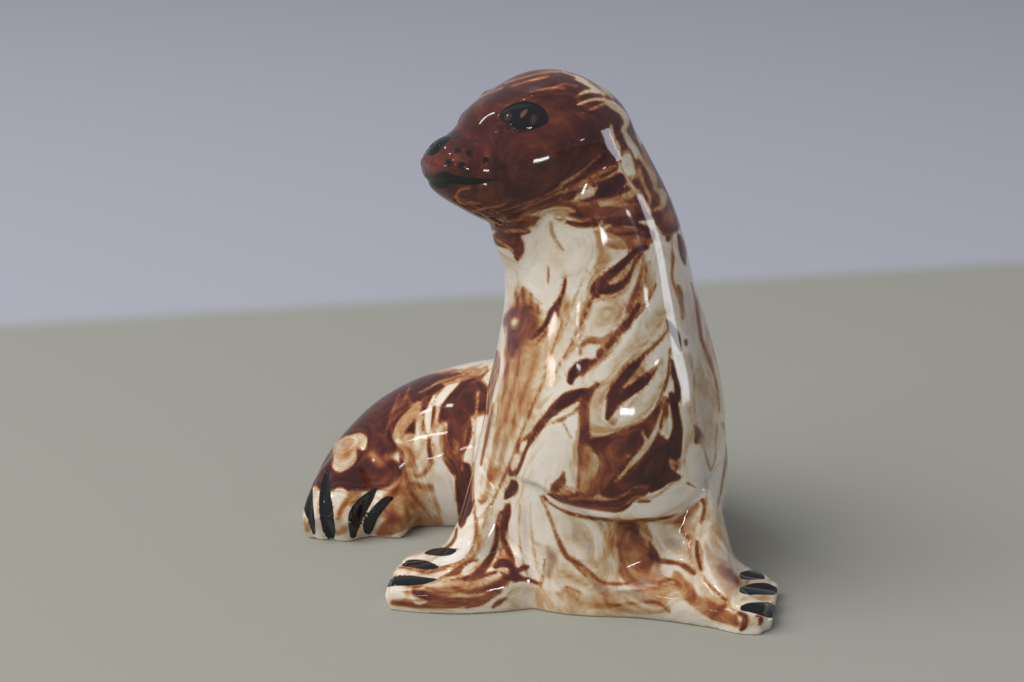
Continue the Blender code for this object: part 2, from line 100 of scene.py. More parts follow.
def in_between(rows: Rows, steps: int) -> np.ndarray:
    """Puts rows on a smooth curve.

    Args:
        rows: rows of numbers.
        steps: how many rows come out for each one given.

    Returns:
        The rows of the curve through the given ones.
    """
    table = np.array(rows, float)
    padded = np.vstack([2 * table[0] - table[1], table, 2 * table[-1] - table[-2]])
    smooth = []
    for i in range(1, len(table)):
        p0, p1, p2, p3 = padded[i - 1 : i + 3]
        for t in np.arange(steps) / steps:
            cubic = 2 * p1 + (p2 - p0) * t + (2 * p0 - 5 * p1 + 4 * p2 - p3) * t**2
            smooth.append((cubic + (3 * p1 - p0 - 3 * p2 + p3) * t**3) / 2)
    return np.array([*smooth, table[-1]])


@dataclass(frozen=True)
class FrontView:
    """The camera's place, and the pixels in which the swirls and the brush strokes are drawn."""

    azimuth: float = math.radians(10.0)
    elevation: float = math.radians(16.0)
    distance: float = 709.0 * MM
    target: tuple[float, float, float] = (-26.59 * MM, -4.69 * MM, 77.5 * MM)
    width: int = 1024
    height: int = 682
    focal: float = 2306.0
    sensor: float = 36.0

    @property
    def axes(self) -> tuple[Vector, Vector, Vector]:
        """The view's directions to the right, up and back towards the camera."""
        right = Vector((math.cos(self.azimuth), math.sin(self.azimuth), 0))
        flat = math.cos(self.elevation)
        back = Vector((right.y * flat, -right.x * flat, math.sin(self.elevation)))
        return right, back.cross(right), back

    @property
    def eye(self) -> Vector:
        """Where the camera stands."""
        return Vector(self.target) + self.axes[2] * self.distance

    @property
    def pixel(self) -> float:
        """A pixel's size at the figurine, in metres."""
        return self.distance / self.focal

    def ray(self, x: float, y: float) -> Vector:
        """The direction in which the camera sees a pixel."""
        right, up, back = self.axes
        aim = right * (x - self.width / 2) - up * (y - self.height / 2) - back * self.focal
        return aim.normalized()

    def project(self, points: np.ndarray) -> np.ndarray:
        """The pixels at which the camera sees points."""
        right, up, back = (np.array(axis) for axis in self.axes)
        away = points - np.array(self.eye)
        scale = -self.focal / (away @ back)
        x = self.width / 2 + (away @ right) * scale
        return np.stack([x, self.height / 2 - (away @ up) * scale], axis=1)

    def on_floor(self, x: float, y: float) -> Vector:
        """The place on the floor that the camera sees at a pixel."""
        aim = self.ray(x, y)
        return self.eye - aim * (self.eye.z / aim.z)

    def add_camera(self) -> None:
        """Adds the scene's camera."""
        right, up, back = self.axes
        data = bpy.data.cameras.new("front_view")
        data.sensor_width = self.sensor
        data.lens = self.focal / self.width * self.sensor
        data.clip_start = 10 * MM
        camera = bpy.data.objects.new("front_view", data)
        camera.matrix_world = Matrix.Translation(self.eye) @ Matrix((right, up, back)).transposed().to_4x4()
        bpy.context.scene.collection.objects.link(camera)
        bpy.context.scene.camera = camera


class Relief:
    """A mesh's skin as points that can be raised and carved."""

    def __init__(self, mesh: bpy.types.Mesh) -> None:
        """Reads the mesh.

        Args:
            mesh: the mesh to work on.
        """
        self.mesh = mesh
        self.points = np.empty((len(mesh.vertices), 3))
        self.normals = np.empty((len(mesh.vertices), 3))
        mesh.vertices.foreach_get("co", self.points.ravel())
        mesh.vertex_normals.foreach_get("vector", self.normals.ravel())
        skin = bmesh.new()
        skin.from_mesh(mesh)
        self.tree = BVHTree.FromBMesh(skin)
        skin.free()

    def hit(self, start: Vector, direction: Vector) -> tuple[Vector | None, Vector | None]:
        """Where a ray meets the skin, and the skin's normal there."""
        return self.tree.ray_cast(start, direction)[:2]

    def dome(self, centre: Vector, normal: Vector, along: Vector, size: tuple[float, float, float]) -> None:
        """Raises an oval with a crisp rim.

        Args:
            centre: the oval's middle.
            normal: the skin's normal there.
            along: the direction of its length.
            size: half its length, half its width and its height.
        """
        half_length, half_width, height = size
        across = normal.cross(along).normalized()
        along = across.cross(normal).normalized()
        away = self.points - np.array(centre)
        reach = np.hypot(away @ np.array(along) / half_length, away @ np.array(across) / half_width)
        near = np.abs(away @ np.array(normal)) < half_length
        rise = np.where(near, np.sqrt(np.clip(1 - reach**2, 0, None)), 0) * height
        self.points += self.normals * rise[:, None]

    def line(self, path: list[Vector], height: float, softness: float) -> None:
        """Raises a soft ridge along a path, or carves a groove.

        Args:
            path: points on the skin.
            height: how far it rises, below 0 for a groove.
            softness: how far from the path it reaches.
        """
        nearest = np.full(len(self.points), np.inf)
        for a, b in zip(path, path[1:] if len(path) > 1 else path):
            a, b = np.array(a), np.array(b)
            t = np.clip((self.points - a) @ (b - a) / max((b - a) @ (b - a), 1e-12), 0, 1)
            nearest = np.minimum(nearest, ((self.points - (a + t[:, None] * (b - a))) ** 2).sum(axis=1))
        self.points += self.normals * (height * np.exp(-nearest / softness**2))[:, None]

    def lip(self, path: list[Vector], height: float, step: float, fade: float) -> None:
        """Makes the skin above a path overhang what is below it.

        Args:
            path: points on the skin.
            height: how far it overhangs.
            step: how high the step is.
            fade: how far upwards and past both ends it fades out.
        """
        nearest = np.full(len(self.points), np.inf)
        level = np.zeros(len(self.points))
        aside = np.zeros(len(self.points))
        for point in np.array([tuple(point) for point in path]):
            away = self.points - point
            distance = (away**2).sum(axis=1)
            closer = distance < nearest
            nearest[closer] = distance[closer]
            level[closer] = point[2]
            aside[closer] = np.hypot(away[closer, 0], away[closer, 1])
        above = self.points[:, 2] - level
        ramp = np.clip(above / step, 0, 1)
        rise = ramp * ramp * (3 - 2 * ramp) * np.exp(-((above / fade) ** 2) - (2 * aside / fade) ** 2)
        self.points += self.normals * (height * rise)[:, None]

    def ripple(self, height: float, length: float) -> None:
        """Gives the skin the slight waves of pooled glaze.

        Args:
            height: how far it rises and falls.
            length: about how far apart the waves are.
        """
        rise = np.array([noise.noise(Vector(point / length)) for point in self.points])
        self.points += self.normals * (height * rise)[:, None]

    def apply(self) -> None:
        """Puts the points back into the mesh."""
        self.mesh.vertices.foreach_set("co", self.points.ravel())
        self.mesh.update()


def ring(centre: Vector, side: Vector, up: Vector, size: tuple[float, float, float]) -> list[Vector]:
    """Draws an egg-shaped section.

    Args:
        centre: its middle.
        side: the direction of its width.
        up: the direction of its height.
        size: half its width, its reach up and its reach down.

    Returns:
        The points round it.
    """
    half_width, reach_up, reach_down = size
    points = []
    for angle in np.arange(RING_POINTS) * math.tau / RING_POINTS:
        rise = math.sin(angle) * (reach_up if math.sin(angle) > 0 else reach_down)
        points.append(centre + side * (half_width * math.cos(angle)) + up * rise)
    return points


def add_loft(bm: bmesh.types.BMesh, rings: list[list[Vector]]) -> None:
    """Adds a closed skin through the rings, with a point at the middle of each end."""
    rows = [[bm.verts.new(point) for point in points] for points in rings]
    count = len(rows[0])
    for low, high in zip(rows, rows[1:]):
        for i in range(count):
            j = (i + 1) % count
            bm.faces.new((low[i], low[j], high[j], high[i]))
    for row, order in ((rows[0], -1), (rows[-1], 1)):
        middle = bm.verts.new(sum((v.co for v in row), Vector()) / count)
        for i in range(count):
            bm.faces.new((*(row[i], row[(i + 1) % count])[::order], middle))


def new_object(name: str, bm: bmesh.types.BMesh) -> bpy.types.Object:
    """Makes an object of a finished bmesh, with its faces turned outwards."""
    bmesh.ops.recalc_face_normals(bm, faces=bm.faces)
    mesh = bpy.data.meshes.new(name)
    bm.to_mesh(mesh)
    bm.free()
    obj = bpy.data.objects.new(name, mesh)
    bpy.context.scene.collection.objects.link(obj)
    return obj


def bake(obj: bpy.types.Object, *modifiers: tuple[str, dict]) -> None:
    """Runs modifiers on an object and keeps what they give as its mesh.

    Args:
        obj: the object.
        modifiers: each modifier's kind and settings.
    """
    for kind, settings in modifiers:
        modifier = obj.modifiers.new(kind.title(), kind)
        for key, value in settings.items():
            setattr(modifier, key, value)
    mesh = bpy.data.meshes.new_from_object(obj.evaluated_get(bpy.context.evaluated_depsgraph_get()))
    obj.modifiers.clear()
    obj.data = mesh


@dataclass
class Torso:
    """Neck, chest and throat."""

    # Level sections: height, centre x, centre y, half-width, reach to the front, reach to the back
    sections: Rows = (
        (-8, 0, 2, 37, 33.5, 34),
        (0, 0, 2, 37.5, 35, 40),
        (10, 0, 3, 36.5, 35, 46),
        (22, 0.3, 4, 36.5, 35.5, 50),
        (34, 0.8, 4.5, 37.5, 37.5, 48),
        (46.6, 1.2, 4, 38, 39.5, 42),
        (60, 1.5, 3, 37, 39.5, 35.5),
        (75, 1.5, 2.5, 33.7, 36.5, 31.5),
        (88, 0.6, 2, 30.5, 32.5, 29.5),
        (99, -1, 1.5, 28.9, 29.3, 28.5),
        (110, -3.2, 1, 28.6, 27.2, 27.5),
        (122, -6, 0, 27.2, 25.8, 26),
        (133, -9, -1, 24.8, 24.3, 24.3),
        (144, -11.3, -1.5, 20.8, 20.8, 20.3),
        (153, -12.5, -2, 14.5, 14.5, 13.5),
        (158.5, -13, -2, 6, 6, 6),
    )
    throat: tuple[float, float, float] = (-18.2, -9.0, 114.5)
    throat_radius: float = 14.2
    # Lower edge of the chest, where it overhangs the base: x and z
    chest_edge: Rows = (
        (-14, 40),
        (-8, 37),
        (3, 31),
        (13, 29),
        (24, 31),
        (33, 36),
        (37, 41),
    )
    overhang: float = 1.6 * MM
    lip_height: float = 2.2 * MM
    lip_fade: float = 14.0 * MM
    edge_steps: int = 16
    before_chest: float = -140.0 * MM  # a place well in front of it

    def rings(self, inset: float = 0.0) -> list[list[Vector]]:
        """The level sections, taken in by inset."""
        rings = []
        for row in in_between(self.sections, RING_STEPS) * MM:
            height, x, y, half_width, front, back = (float(value) for value in row)
            if min(half_width, front, back) > 2 * inset:
                size = (half_width - inset, back - inset, front - inset)
                rings.append(ring(Vector((x, y, height)), Vector((1, 0, 0)), Vector((0, 1, 0)), size))
        return rings

    def add_rough(self, bm: bmesh.types.BMesh) -> None:
        """Adds the neck, chest and throat as plain masses."""
        add_loft(bm, self.rings())
        place = Matrix.Translation(Vector(self.throat) * MM)
        bmesh.ops.create_uvsphere(
            bm,
            u_segments=RING_POINTS,
            v_segments=RING_POINTS // 2,
            radius=self.throat_radius * MM,
            matrix=place,
        )

    def shape(self, skin: Relief) -> None:
        """Gives the chest its lower edge."""
        edge = []
        for x, z in in_between(self.chest_edge, self.edge_steps) * MM:
            edge.append(skin.hit(Vector((x, self.before_chest, z)), Vector((0, 1, 0)))[0])
        skin.lip(edge, self.overhang, self.lip_height, self.lip_fade)


@dataclass
class Head:
    """Skull and muzzle, with the eyes, nose and mouth in their surface."""

    middle: tuple[float, float, float] = (-11.8, -2.1, 141.0)
    turn: float = math.radians(47.0)
    roll: float = math.radians(9.0)
    # Sections across its forward direction: forward, up, half-width, reach up, reach down
    sections: Rows = (
        (-20, 0, 6, 4, 4),
        (-17, 0, 14, 10, 12),
        (-10, 0, 20.5, 16, 18),
        (0, 0, 23.8, 20.5, 21),
        (10, 0, 24, 20.8, 23),
        (19, -1, 21.8, 18.2, 23.5),
        (26, -2.5, 18.6, 17, 20.5),
        (31, -4, 15.3, 14.8, 16.8),
        (35.5, -4.8, 12.4, 11, 13.2),
        (40, -4.8, 11.6, 9.6, 10.4),
        (44, -4.6, 9.2, 7.4, 7.8),
        (47, -4.2, 5, 4, 4.2),
    )
    eye: tuple[float, float] = (24.0 * MM, 8.5 * MM)
    eye_size: tuple[float, float, float] = (7.0 * MM, 4.4 * MM, 0.8 * MM)
    eye_tilt: float = math.radians(20.0)
    eyelid: tuple[float, float] = (0.3 * MM, 1.1 * MM)
    brow_rise: float = 7.5 * MM
    brow: tuple[float, float] = (1.6 * MM, 3.2 * MM)
    socket: tuple[float, float] = (0.9 * MM, 4.0 * MM)
    nose: tuple[float, float] = (43.5 * MM, 4.0 * MM)
    nose_slope: float = math.radians(35.0)
    nose_size: tuple[float, float, float] = (5.0 * MM, 4.0 * MM, 0.5 * MM)
    nostril_side: float = 2.4 * MM
    nostril: tuple[float, float] = (0.6 * MM, 0.9 * MM)
    whisker_pad_turn: float = math.radians(38.0)
    whisker_pad_up: float = -3.0 * MM
    whisker_pad: tuple[float, float] = (1.0 * MM, 5.0 * MM)
    muzzle_middle: float = 30.0 * MM
    mouth_up: float = -8.0 * MM
    mouth_corner_up: float = -9.8 * MM
    mouth_reach: float = math.radians(80.0)
    mouth: tuple[float, float] = (0.45 * MM, 1.2 * MM)

    @property
    def place(self) -> Matrix:
        """The head's own directions: X forward, Y to its left and Z up."""
        turn = Matrix.Rotation(-math.pi / 2 - self.turn, 4, "Z")
        return Matrix.Translation(Vector(self.middle) * MM) @ turn @ Matrix.Rotation(self.roll, 4, "X")

    def add_rough(self, bm: bmesh.types.BMesh) -> None:
        """Adds the skull and muzzle as one plain mass."""
        turned = self.place.to_3x3()
        rings = []
        for row in in_between(self.sections, RING_STEPS) * MM:
            centre = self.place @ Vector((row[0], 0, row[1]))
            size = (float(row[2]), float(row[3]), float(row[4]))
            rings.append(ring(centre, turned @ Vector((0, -1, 0)), turned @ Vector((0, 0, 1)), size))
        add_loft(bm, rings)

    def eye_directions(self, skin: Relief, side: int) -> tuple[Vector, Vector, Vector]:
        """Finds an eye on the skin.

        Args:
            skin: the casting's skin.
            side: -1 for the right eye and 1 for the left one.

        Returns:
            The eye's middle, the skin's normal there and the direction of the eye's length.
        """
        turned = self.place.to_3x3()
        start = self.place @ Vector((self.eye[0], 0, self.eye[1]))
        middle, normal = skin.hit(start, turned @ Vector((0, side, 0)))
        along = turned @ Vector((math.cos(self.eye_tilt), 0, math.sin(self.eye_tilt)))
        return middle, normal, along

    def mouth_path(self, skin: Relief) -> list[Vector]:
        """Points along the mouth, from its right corner to its left one."""
        turned = self.place.to_3x3()
        path = []
        for angle in np.linspace(-self.mouth_reach, self.mouth_reach, 33):
            drop = (1 - math.cos(angle)) * (self.mouth_corner_up - self.mouth_up)
            start = self.place @ Vector((self.muzzle_middle, 0, self.mouth_up + drop))
            path.append(skin.hit(start, turned @ Vector((math.cos(angle), math.sin(angle), 0)))[0])
        return path

    def nose_place(self, skin: Relief) -> tuple[Vector, Vector]:
        """The middle of the nose on the skin, and the skin's normal there."""
        inward = self.place.to_3x3() @ Vector((-math.sin(self.nose_slope), 0, -math.cos(self.nose_slope)))
        outside = self.place @ Vector((self.nose[0], 0, self.nose[1])) - inward * 0.1
        return skin.hit(outside, inward)

    def shape_eye(self, skin: Relief, side: int) -> None:
        """Raises one eye and its brow, and carves its lid and socket."""
        turned = self.place.to_3x3()
        outward = turned @ Vector((0, side, 0))
        half_length, half_height, _ = self.eye_size
        eye, normal, along = self.eye_directions(skin, side)
        brow = []
        for ahead, rise in (
            (-half_length, self.brow_rise - half_height / 2),
            (0.0, self.brow_rise),
            (half_length, self.brow_rise - half_height / 4),
            (half_length + self.brow[1], self.brow_rise - half_height),
        ):
            start = self.place @ Vector((self.eye[0] + ahead, 0, self.eye[1] + rise))
            brow.append(skin.hit(start, outward)[0])
        skin.line([point for point in brow if point], *self.brow)
        start = self.place @ Vector((self.eye[0] + half_length, 0, self.eye[1] - half_height / 2))
        skin.line([skin.hit(start, outward)[0]], -self.socket[0], self.socket[1])
        depth, width = self.eyelid
        across = normal.cross(along).normalized()
        lid = []
        for angle in np.linspace(0, math.tau, 41):
            ahead = along * (math.cos(angle) * (half_length + width / 2))
            rise = across * (math.sin(angle) * (half_height + width / 2))
            lid.append(skin.hit(eye + ahead + rise + normal * half_length, -normal)[0])
        skin.dome(eye, normal, along, self.eye_size)
        skin.line([point for point in lid if point], -depth, width)

    def shape(self, skin: Relief) -> None:
        """Raises the eyes, whisker pads and nose, and carves the nostrils and the mouth."""
        turned = self.place.to_3x3()
        for side in (-1, 1):
            self.shape_eye(skin, side)
            start = self.place @ Vector((self.muzzle_middle, 0, self.whisker_pad_up))
            turn = side * self.whisker_pad_turn
            aim = turned @ Vector((math.cos(turn), math.sin(turn), 0))
            skin.line([skin.hit(start, aim)[0]], *self.whisker_pad)
        nose, normal = self.nose_place(skin)
        skin.dome(nose, normal, turned @ Vector((0, 1, 0)), self.nose_size)
        for side in (-1, 1):
            height = self.nose[1] - self.nose_size[1] / 2
            start = self.place @ Vector((self.muzzle_middle, side * self.nostril_side, height))
            skin.line([skin.hit(start, turned @ Vector((1, 0, 0)))[0]], -self.nostril[0], self.nostril[1])
        skin.line(self.mouth_path(skin), -self.mouth[0], self.mouth[1])


@dataclass
class Hindquarters:
    """Loins, rump and tail, which curl round to the seal's right."""

    # Upright sections across the path: centre x, centre y, half-width, height of the top, of the middle
    sections: Rows = (
        (21, 4, 16, 56, 30),
        (15, 20, 26, 62, 30),
        (4, 34, 32, 61, 28),
        (-12, 48, 33.5, 57.5, 26),
        (-32, 57, 32, 54.2, 24),
        (-52, 59, 29.5, 49.8, 21),
        (-70, 54, 26, 44, 18),
        (-84, 47, 20.5, 35, 14),
        (-94, 41, 14.5, 23.5, 10),
        (-99.5, 37, 8, 14, 6),
    )
    ground_drop: float = 12.0 * MM

    def rings(self, inset: float = 0.0) -> list[list[Vector]]:
        """The upright sections, taken in by inset."""
        rows = in_between(self.sections, RING_STEPS) * MM
        rings = []
        for i, row in enumerate(rows):
            x, y, half_width, top, middle = (float(value) for value in row)
            before, after = rows[max(i - 1, 0)], rows[min(i + 1, len(rows) - 1)]
            side = Vector((after[1] - before[1], before[0] - after[0], 0)).normalized()
            if min(half_width, top - middle) > 2 * inset:
                size = (half_width - inset, top - middle - inset, middle + self.ground_drop)
                rings.append(ring(Vector((x, y, middle)), side, Vector((0, 0, 1)), size))
        return rings

    def add_rough(self, bm: bmesh.types.BMesh) -> None:
        """Adds the hindquarters as one plain mass."""
        add_loft(bm, self.rings())


@dataclass
class Flippers:
    """The two front flippers and the two hind ones, with the grooves between their toes."""

    # Sections across a path: centre x, centre y, centre z, half-width along the level side, half-thickness
    right_arm: Rows = (
        (-22, 0, 64, 12, 10),
        (-26, -2, 48, 15, 10.5),
        (-29.5, -5, 32, 17, 10),
        (-34, -11, 18, 17, 9),
        (-41, -15.5, 9, 18.5, 7),
    )
    right_hand: Rows = (
        (-34, -13.5, 12, 17.5, 7),
        (-42, -16.5, 7, 18.5, 6),
        (-50, -17.5, 4.5, 19.5, 5.2),
        (-57, -18.5, 3.2, 18.5, 4.4),
        (-61, -20, 2.6, 15.5, 3.4),
    )
    left_arm: Rows = (
        (22, 3, 64, 12, 10),
        (25.5, 2, 48, 15, 11),
        (27, -1, 32, 17, 10.5),
        (31.5, -5.5, 18, 19, 9.5),
        (37.5, -11, 10, 20, 7.5),
    )
    left_hand: Rows = (
        (32.5, -9, 13, 18, 7),
        (38.5, -12.5, 8, 19.5, 6.5),
        (45, -16, 4.5, 20, 5),
        (52, -18, 3.2, 18.5, 4.4),
        (57.5, -19.5, 2.6, 15, 3.4),
    )
    left_web: Rows = (
        (6, -19, 7, 13.5, 8),
        (22, -20.5, 7, 13.5, 8),
        (34, -23.5, 6, 12, 7),
        (44, -27, 4, 10, 5.5),
    )
    right_leading_edge: Rows = (
        (-14, -20, 14, 6, 7),
        (-26, -28, 7.5, 6.5, 6.5),
        (-38, -32, 5, 6.5, 5.8),
        (-50, -33, 4.2, 6.2, 5.4),
        (-59, -33, 3.8, 5.4, 4.8),
    )
    left_leading_edge: Rows = (
        (25, -5, 50, 4.5, 4.5),
        (31, -11.5, 34, 6, 5.5),
        (36.5, -20.5, 19, 6.5, 5.8),
        (41.5, -28, 9.5, 6, 5.8),
        (48.5, -33, 5, 5.6, 5.4),
        (55, -33.5, 3.8, 4.8, 4.6),
    )
    outer_hind: Rows = (
        (-85, 46, 18, 10, 12),
        (-89, 36, 13.5, 10.5, 11.5),
        (-90.5, 27, 10, 10.8, 9.8),
        (-90.8, 19, 6, 10.5, 8),
        (-90.8, 14.5, 4, 9, 6),
    )
    inner_hind: Rows = (
        (-71, 50, 18, 10, 12),
        (-73.5, 42, 13, 10.5, 11),
        (-75.5, 34, 9.5, 10.8, 9.5),
        (-76, 26.5, 6, 10.2, 7.8),
        (-76.5, 20.5, 4, 8.5, 6),
    )
    # Grooves between the front toes: x and y at the palm, x and y just past the tip
    front_grooves: Rows = (
        (-46.9, -27.5, -63, -24.6),
        (-46.6, -18.5, -62.5, -12.5),
        (-44.8, -5.6, -58, 0.5),
        (46.5, -12.5, 58, -3.5),
        (46.5, -20, 60, -13.5),
        (46.5, -27.5, 60, -24),
    )
    # Grooves between the hind toes: x and z at the top, x and z at the ground
    hind_grooves: Rows = (
        (-99.5, 15, -97, 0.5),
        (-94.5, 20, -91, 0.5),
        (-78.5, 14, -83, 0.5),
        (-73.5, 11, -77.5, 0.5),
    )
    groove: tuple[float, float] = (1.3 * MM, 1.6 * MM)
    above_toes: float = 20.0 * MM
    foot_drop: float = 6.0 * MM
    foot_height: float = 16.0 * MM

    def add(self, bm: bmesh.types.BMesh, rows: Rows, side: Vector) -> None:
        """Adds a flipper's mass.

        Args:
            bm: what it is added to.
            rows: its sections.
            side: the level direction of its width.
        """
        table = in_between(rows, RING_STEPS) * MM
        rings = []
        for i, row in enumerate(table):
            centre = Vector(row[:3])
            along = Vector(table[min(i + 1, len(table) - 1)][:3]) - Vector(table[max(i - 1, 0)][:3])
            up = side.cross(along).normalized()
            if up.z < 0:
                up.negate()
            down = float(row[4])
            if centre.z < self.foot_height:
                down = max(down, centre.z + self.foot_drop)
            rings.append(ring(centre, side, up, (float(row[3]), float(row[4]), down)))
        add_loft(bm, rings)

    def add_rough(self, bm: bmesh.types.BMesh) -> None:
        """Adds the masses that blend into the body."""
        for rows in (self.right_arm, self.left_arm, self.right_hand, self.left_hand, self.left_web):
            self.add(bm, rows, Vector((0, 1, 0)))
        for rows in (self.outer_hind, self.inner_hind):
            self.add(bm, rows, Vector((1, 0, 0)))

    def add_fine(self, bm: bmesh.types.BMesh) -> None:
        """Adds the hands, leading edges and hind flippers at their full size."""
        for rows in (self.right_hand, self.left_hand, self.right_leading_edge, self.left_leading_edge):
            self.add(bm, rows, Vector((0, 1, 0)))
        for rows in (self.outer_hind, self.inner_hind):
            self.add(bm, rows, Vector((1, 0, 0)))

    def shape(self, skin: Relief) -> None:
        """Carves the grooves between the toes."""
        depth, width = self.groove
        for x0, y0, x1, y1 in self.front_grooves:
            path = []
            for t in np.linspace(0, 1, 25):
                x, y = (x0 + (x1 - x0) * t) * MM, (y0 + (y1 - y0) * t) * MM
                place, _ = skin.hit(Vector((x, y, self.above_toes)), Vector((0, 0, -1)))
                path.append(place or Vector((x, y, width)))
            skin.line(path, -depth, width)
        for x0, z0, x1, z1 in self.hind_grooves:
            path = []
            for t in np.linspace(0, 1, 25):
                start = Vector((x0 + (x1 - x0) * t, 0, z0 + (z1 - z0) * t)) * MM
                place, _ = skin.hit(start, Vector((0, 1, 0)))
                if place:
                    path.append(place)
            skin.line(path, -depth, width)


@dataclass
class Casting:
    """The whole figurine as it comes out of its mould: one hollow shell with a pour hole in its base."""

    torso: Torso = field(default_factory=Torso)
    head: Head = field(default_factory=Head)
    hindquarters: Hindquarters = field(default_factory=Hindquarters)
    flippers: Flippers = field(default_factory=Flippers)
    wall: float = 5.0 * MM
    pour_hole: tuple[float, float, float] = (-10.0 * MM, 26.0 * MM, 9.0 * MM)
    rough_voxel: float = 1.9 * MM
    fine_voxel: float = 1.15 * MM
    cavity_voxel: float = 2.5 * MM
    block: float = 400.0 * MM
    ripple: tuple[float, float] = (0.14 * MM, 11.0 * MM)

    def add_block(self, name: str, height: float) -> bpy.types.Object:
        """A cutter that takes away everything below height."""
        bm = bmesh.new()
        middle = Matrix.Translation((0, 0, height - self.block / 2))
        bmesh.ops.create_cube(bm, size=self.block, matrix=middle)
        return new_object(name, bm)

    def add_cavity(self) -> bpy.types.Object:
        """The hollow, one wall in from the outside."""
        bm = bmesh.new()
        add_loft(bm, self.torso.rings(self.wall))
        add_loft(bm, self.hindquarters.rings(self.wall))
        cavity = new_object("cavity", bm)
        bake(
            cavity,
            ("REMESH", {"mode": "VOXEL", "voxel_size": self.cavity_voxel}),
            ("SMOOTH", {"factor": 0.5, "iterations": 8}),
        )
        self.cut(cavity, self.add_block("cavity_floor", self.wall))
        return cavity

    def add_pour_hole(self) -> bpy.types.Object:
        """The cutter for the round hole in the base."""
        x, y, radius = self.pour_hole
        bm = bmesh.new()
        bmesh.ops.create_cone(
            bm,
            cap_ends=True,
            segments=64,
            radius1=radius,
            radius2=radius,
            depth=4 * self.wall,
            matrix=Matrix.Translation((x, y, 0)),
        )
        return new_object("pour_hole", bm)

    def cut(self, obj: bpy.types.Object, cutter: bpy.types.Object) -> None:
        """Takes one object away from another, and removes it."""
        bake(obj, ("BOOLEAN", {"operation": "DIFFERENCE", "object": cutter}))
        bpy.data.objects.remove(cutter)

    def refine(self, mesh: bpy.types.Mesh) -> None:
        """Divides the faces of the face and the toes, where the forms are smallest."""
        into_head = self.head.place.inverted()
        bm = bmesh.new()
        bm.from_mesh(mesh)
        small = []
        for edge in bm.edges:
            spot = (edge.verts[0].co + edge.verts[1].co) / 2
            ahead = into_head @ spot
            in_face = ahead.x > 13 * MM and ahead.z > -15 * MM and spot.z > 120 * MM
            if in_face or (spot.z < 11 * MM and spot.y < 6 * MM and abs(spot.x + 2 * MM) > 44 * MM):
                small.append(edge)
        bmesh.ops.subdivide_edges(bm, edges=small, cuts=1, use_grid_fill=True, smooth=0.6)
        bm.to_mesh(mesh)
        bm.free()

    def build(self) -> bpy.types.Object:
        """Blends the masses, shapes their surface and hollows them.

        Returns:
            The casting.
        """
        bm = bmesh.new()
        for form in (self.torso, self.hindquarters, self.head, self.flippers):
            form.add_rough(bm)
        seal = new_object("seal_figurine", bm)
        bake(
            seal,
            ("REMESH", {"mode": "VOXEL", "voxel_size": self.rough_voxel}),
            ("SMOOTH", {"factor": 0.5, "iterations": 14}),
        )
        bm = bmesh.new()
        bm.from_mesh(seal.data)
        self.flippers.add_fine(bm)
        bmesh.ops.recalc_face_normals(bm, faces=bm.faces)
        bm.to_mesh(seal.data)
        bm.free()
        bake(
            seal,
            ("REMESH", {"mode": "VOXEL", "voxel_size": self.fine_voxel}),
            ("SMOOTH", {"factor": 0.5, "iterations": 8}),
        )
        self.refine(seal.data)
        skin = Relief(seal.data)
        for form in (self.torso, self.head, self.flippers):
            form.shape(skin)
        skin.ripple(*self.ripple)
        skin.apply()
        self.cut(seal, self.add_block("ground", 0.0))
        self.cut(seal, self.add_cavity())
        self.cut(seal, self.add_pour_hole())
        seal.data.shade_smooth()
        return seal


@dataclass(frozen=True)
class Stroke:
    """One swirl of slip, or one stroke of a brush."""

    slip: float
    path: str  # x,y,half-width of each of its points, in pixels of the front view
    soft: float = 1.0  # width of its edge, in millimetres
    strength: float = 1.0  # how far it covers what is under it

    @property
    def rows(self) -> np.ndarray:
        """The x, y and half-width of points close together on its path."""
        spots = (spot.split(",") for spot in self.path.split())
        return in_between(tuple(tuple(float(part) for part in spot) for spot in spots), STROKE_STEPS)


def swirl(slip: Slip, path: str, soft: float = 1.0, strength: float = 1.0) -> Stroke:
    """A swirl of one slip along a path of pixels with half-widths."""
    return Stroke(slip.value, path, soft, strength)


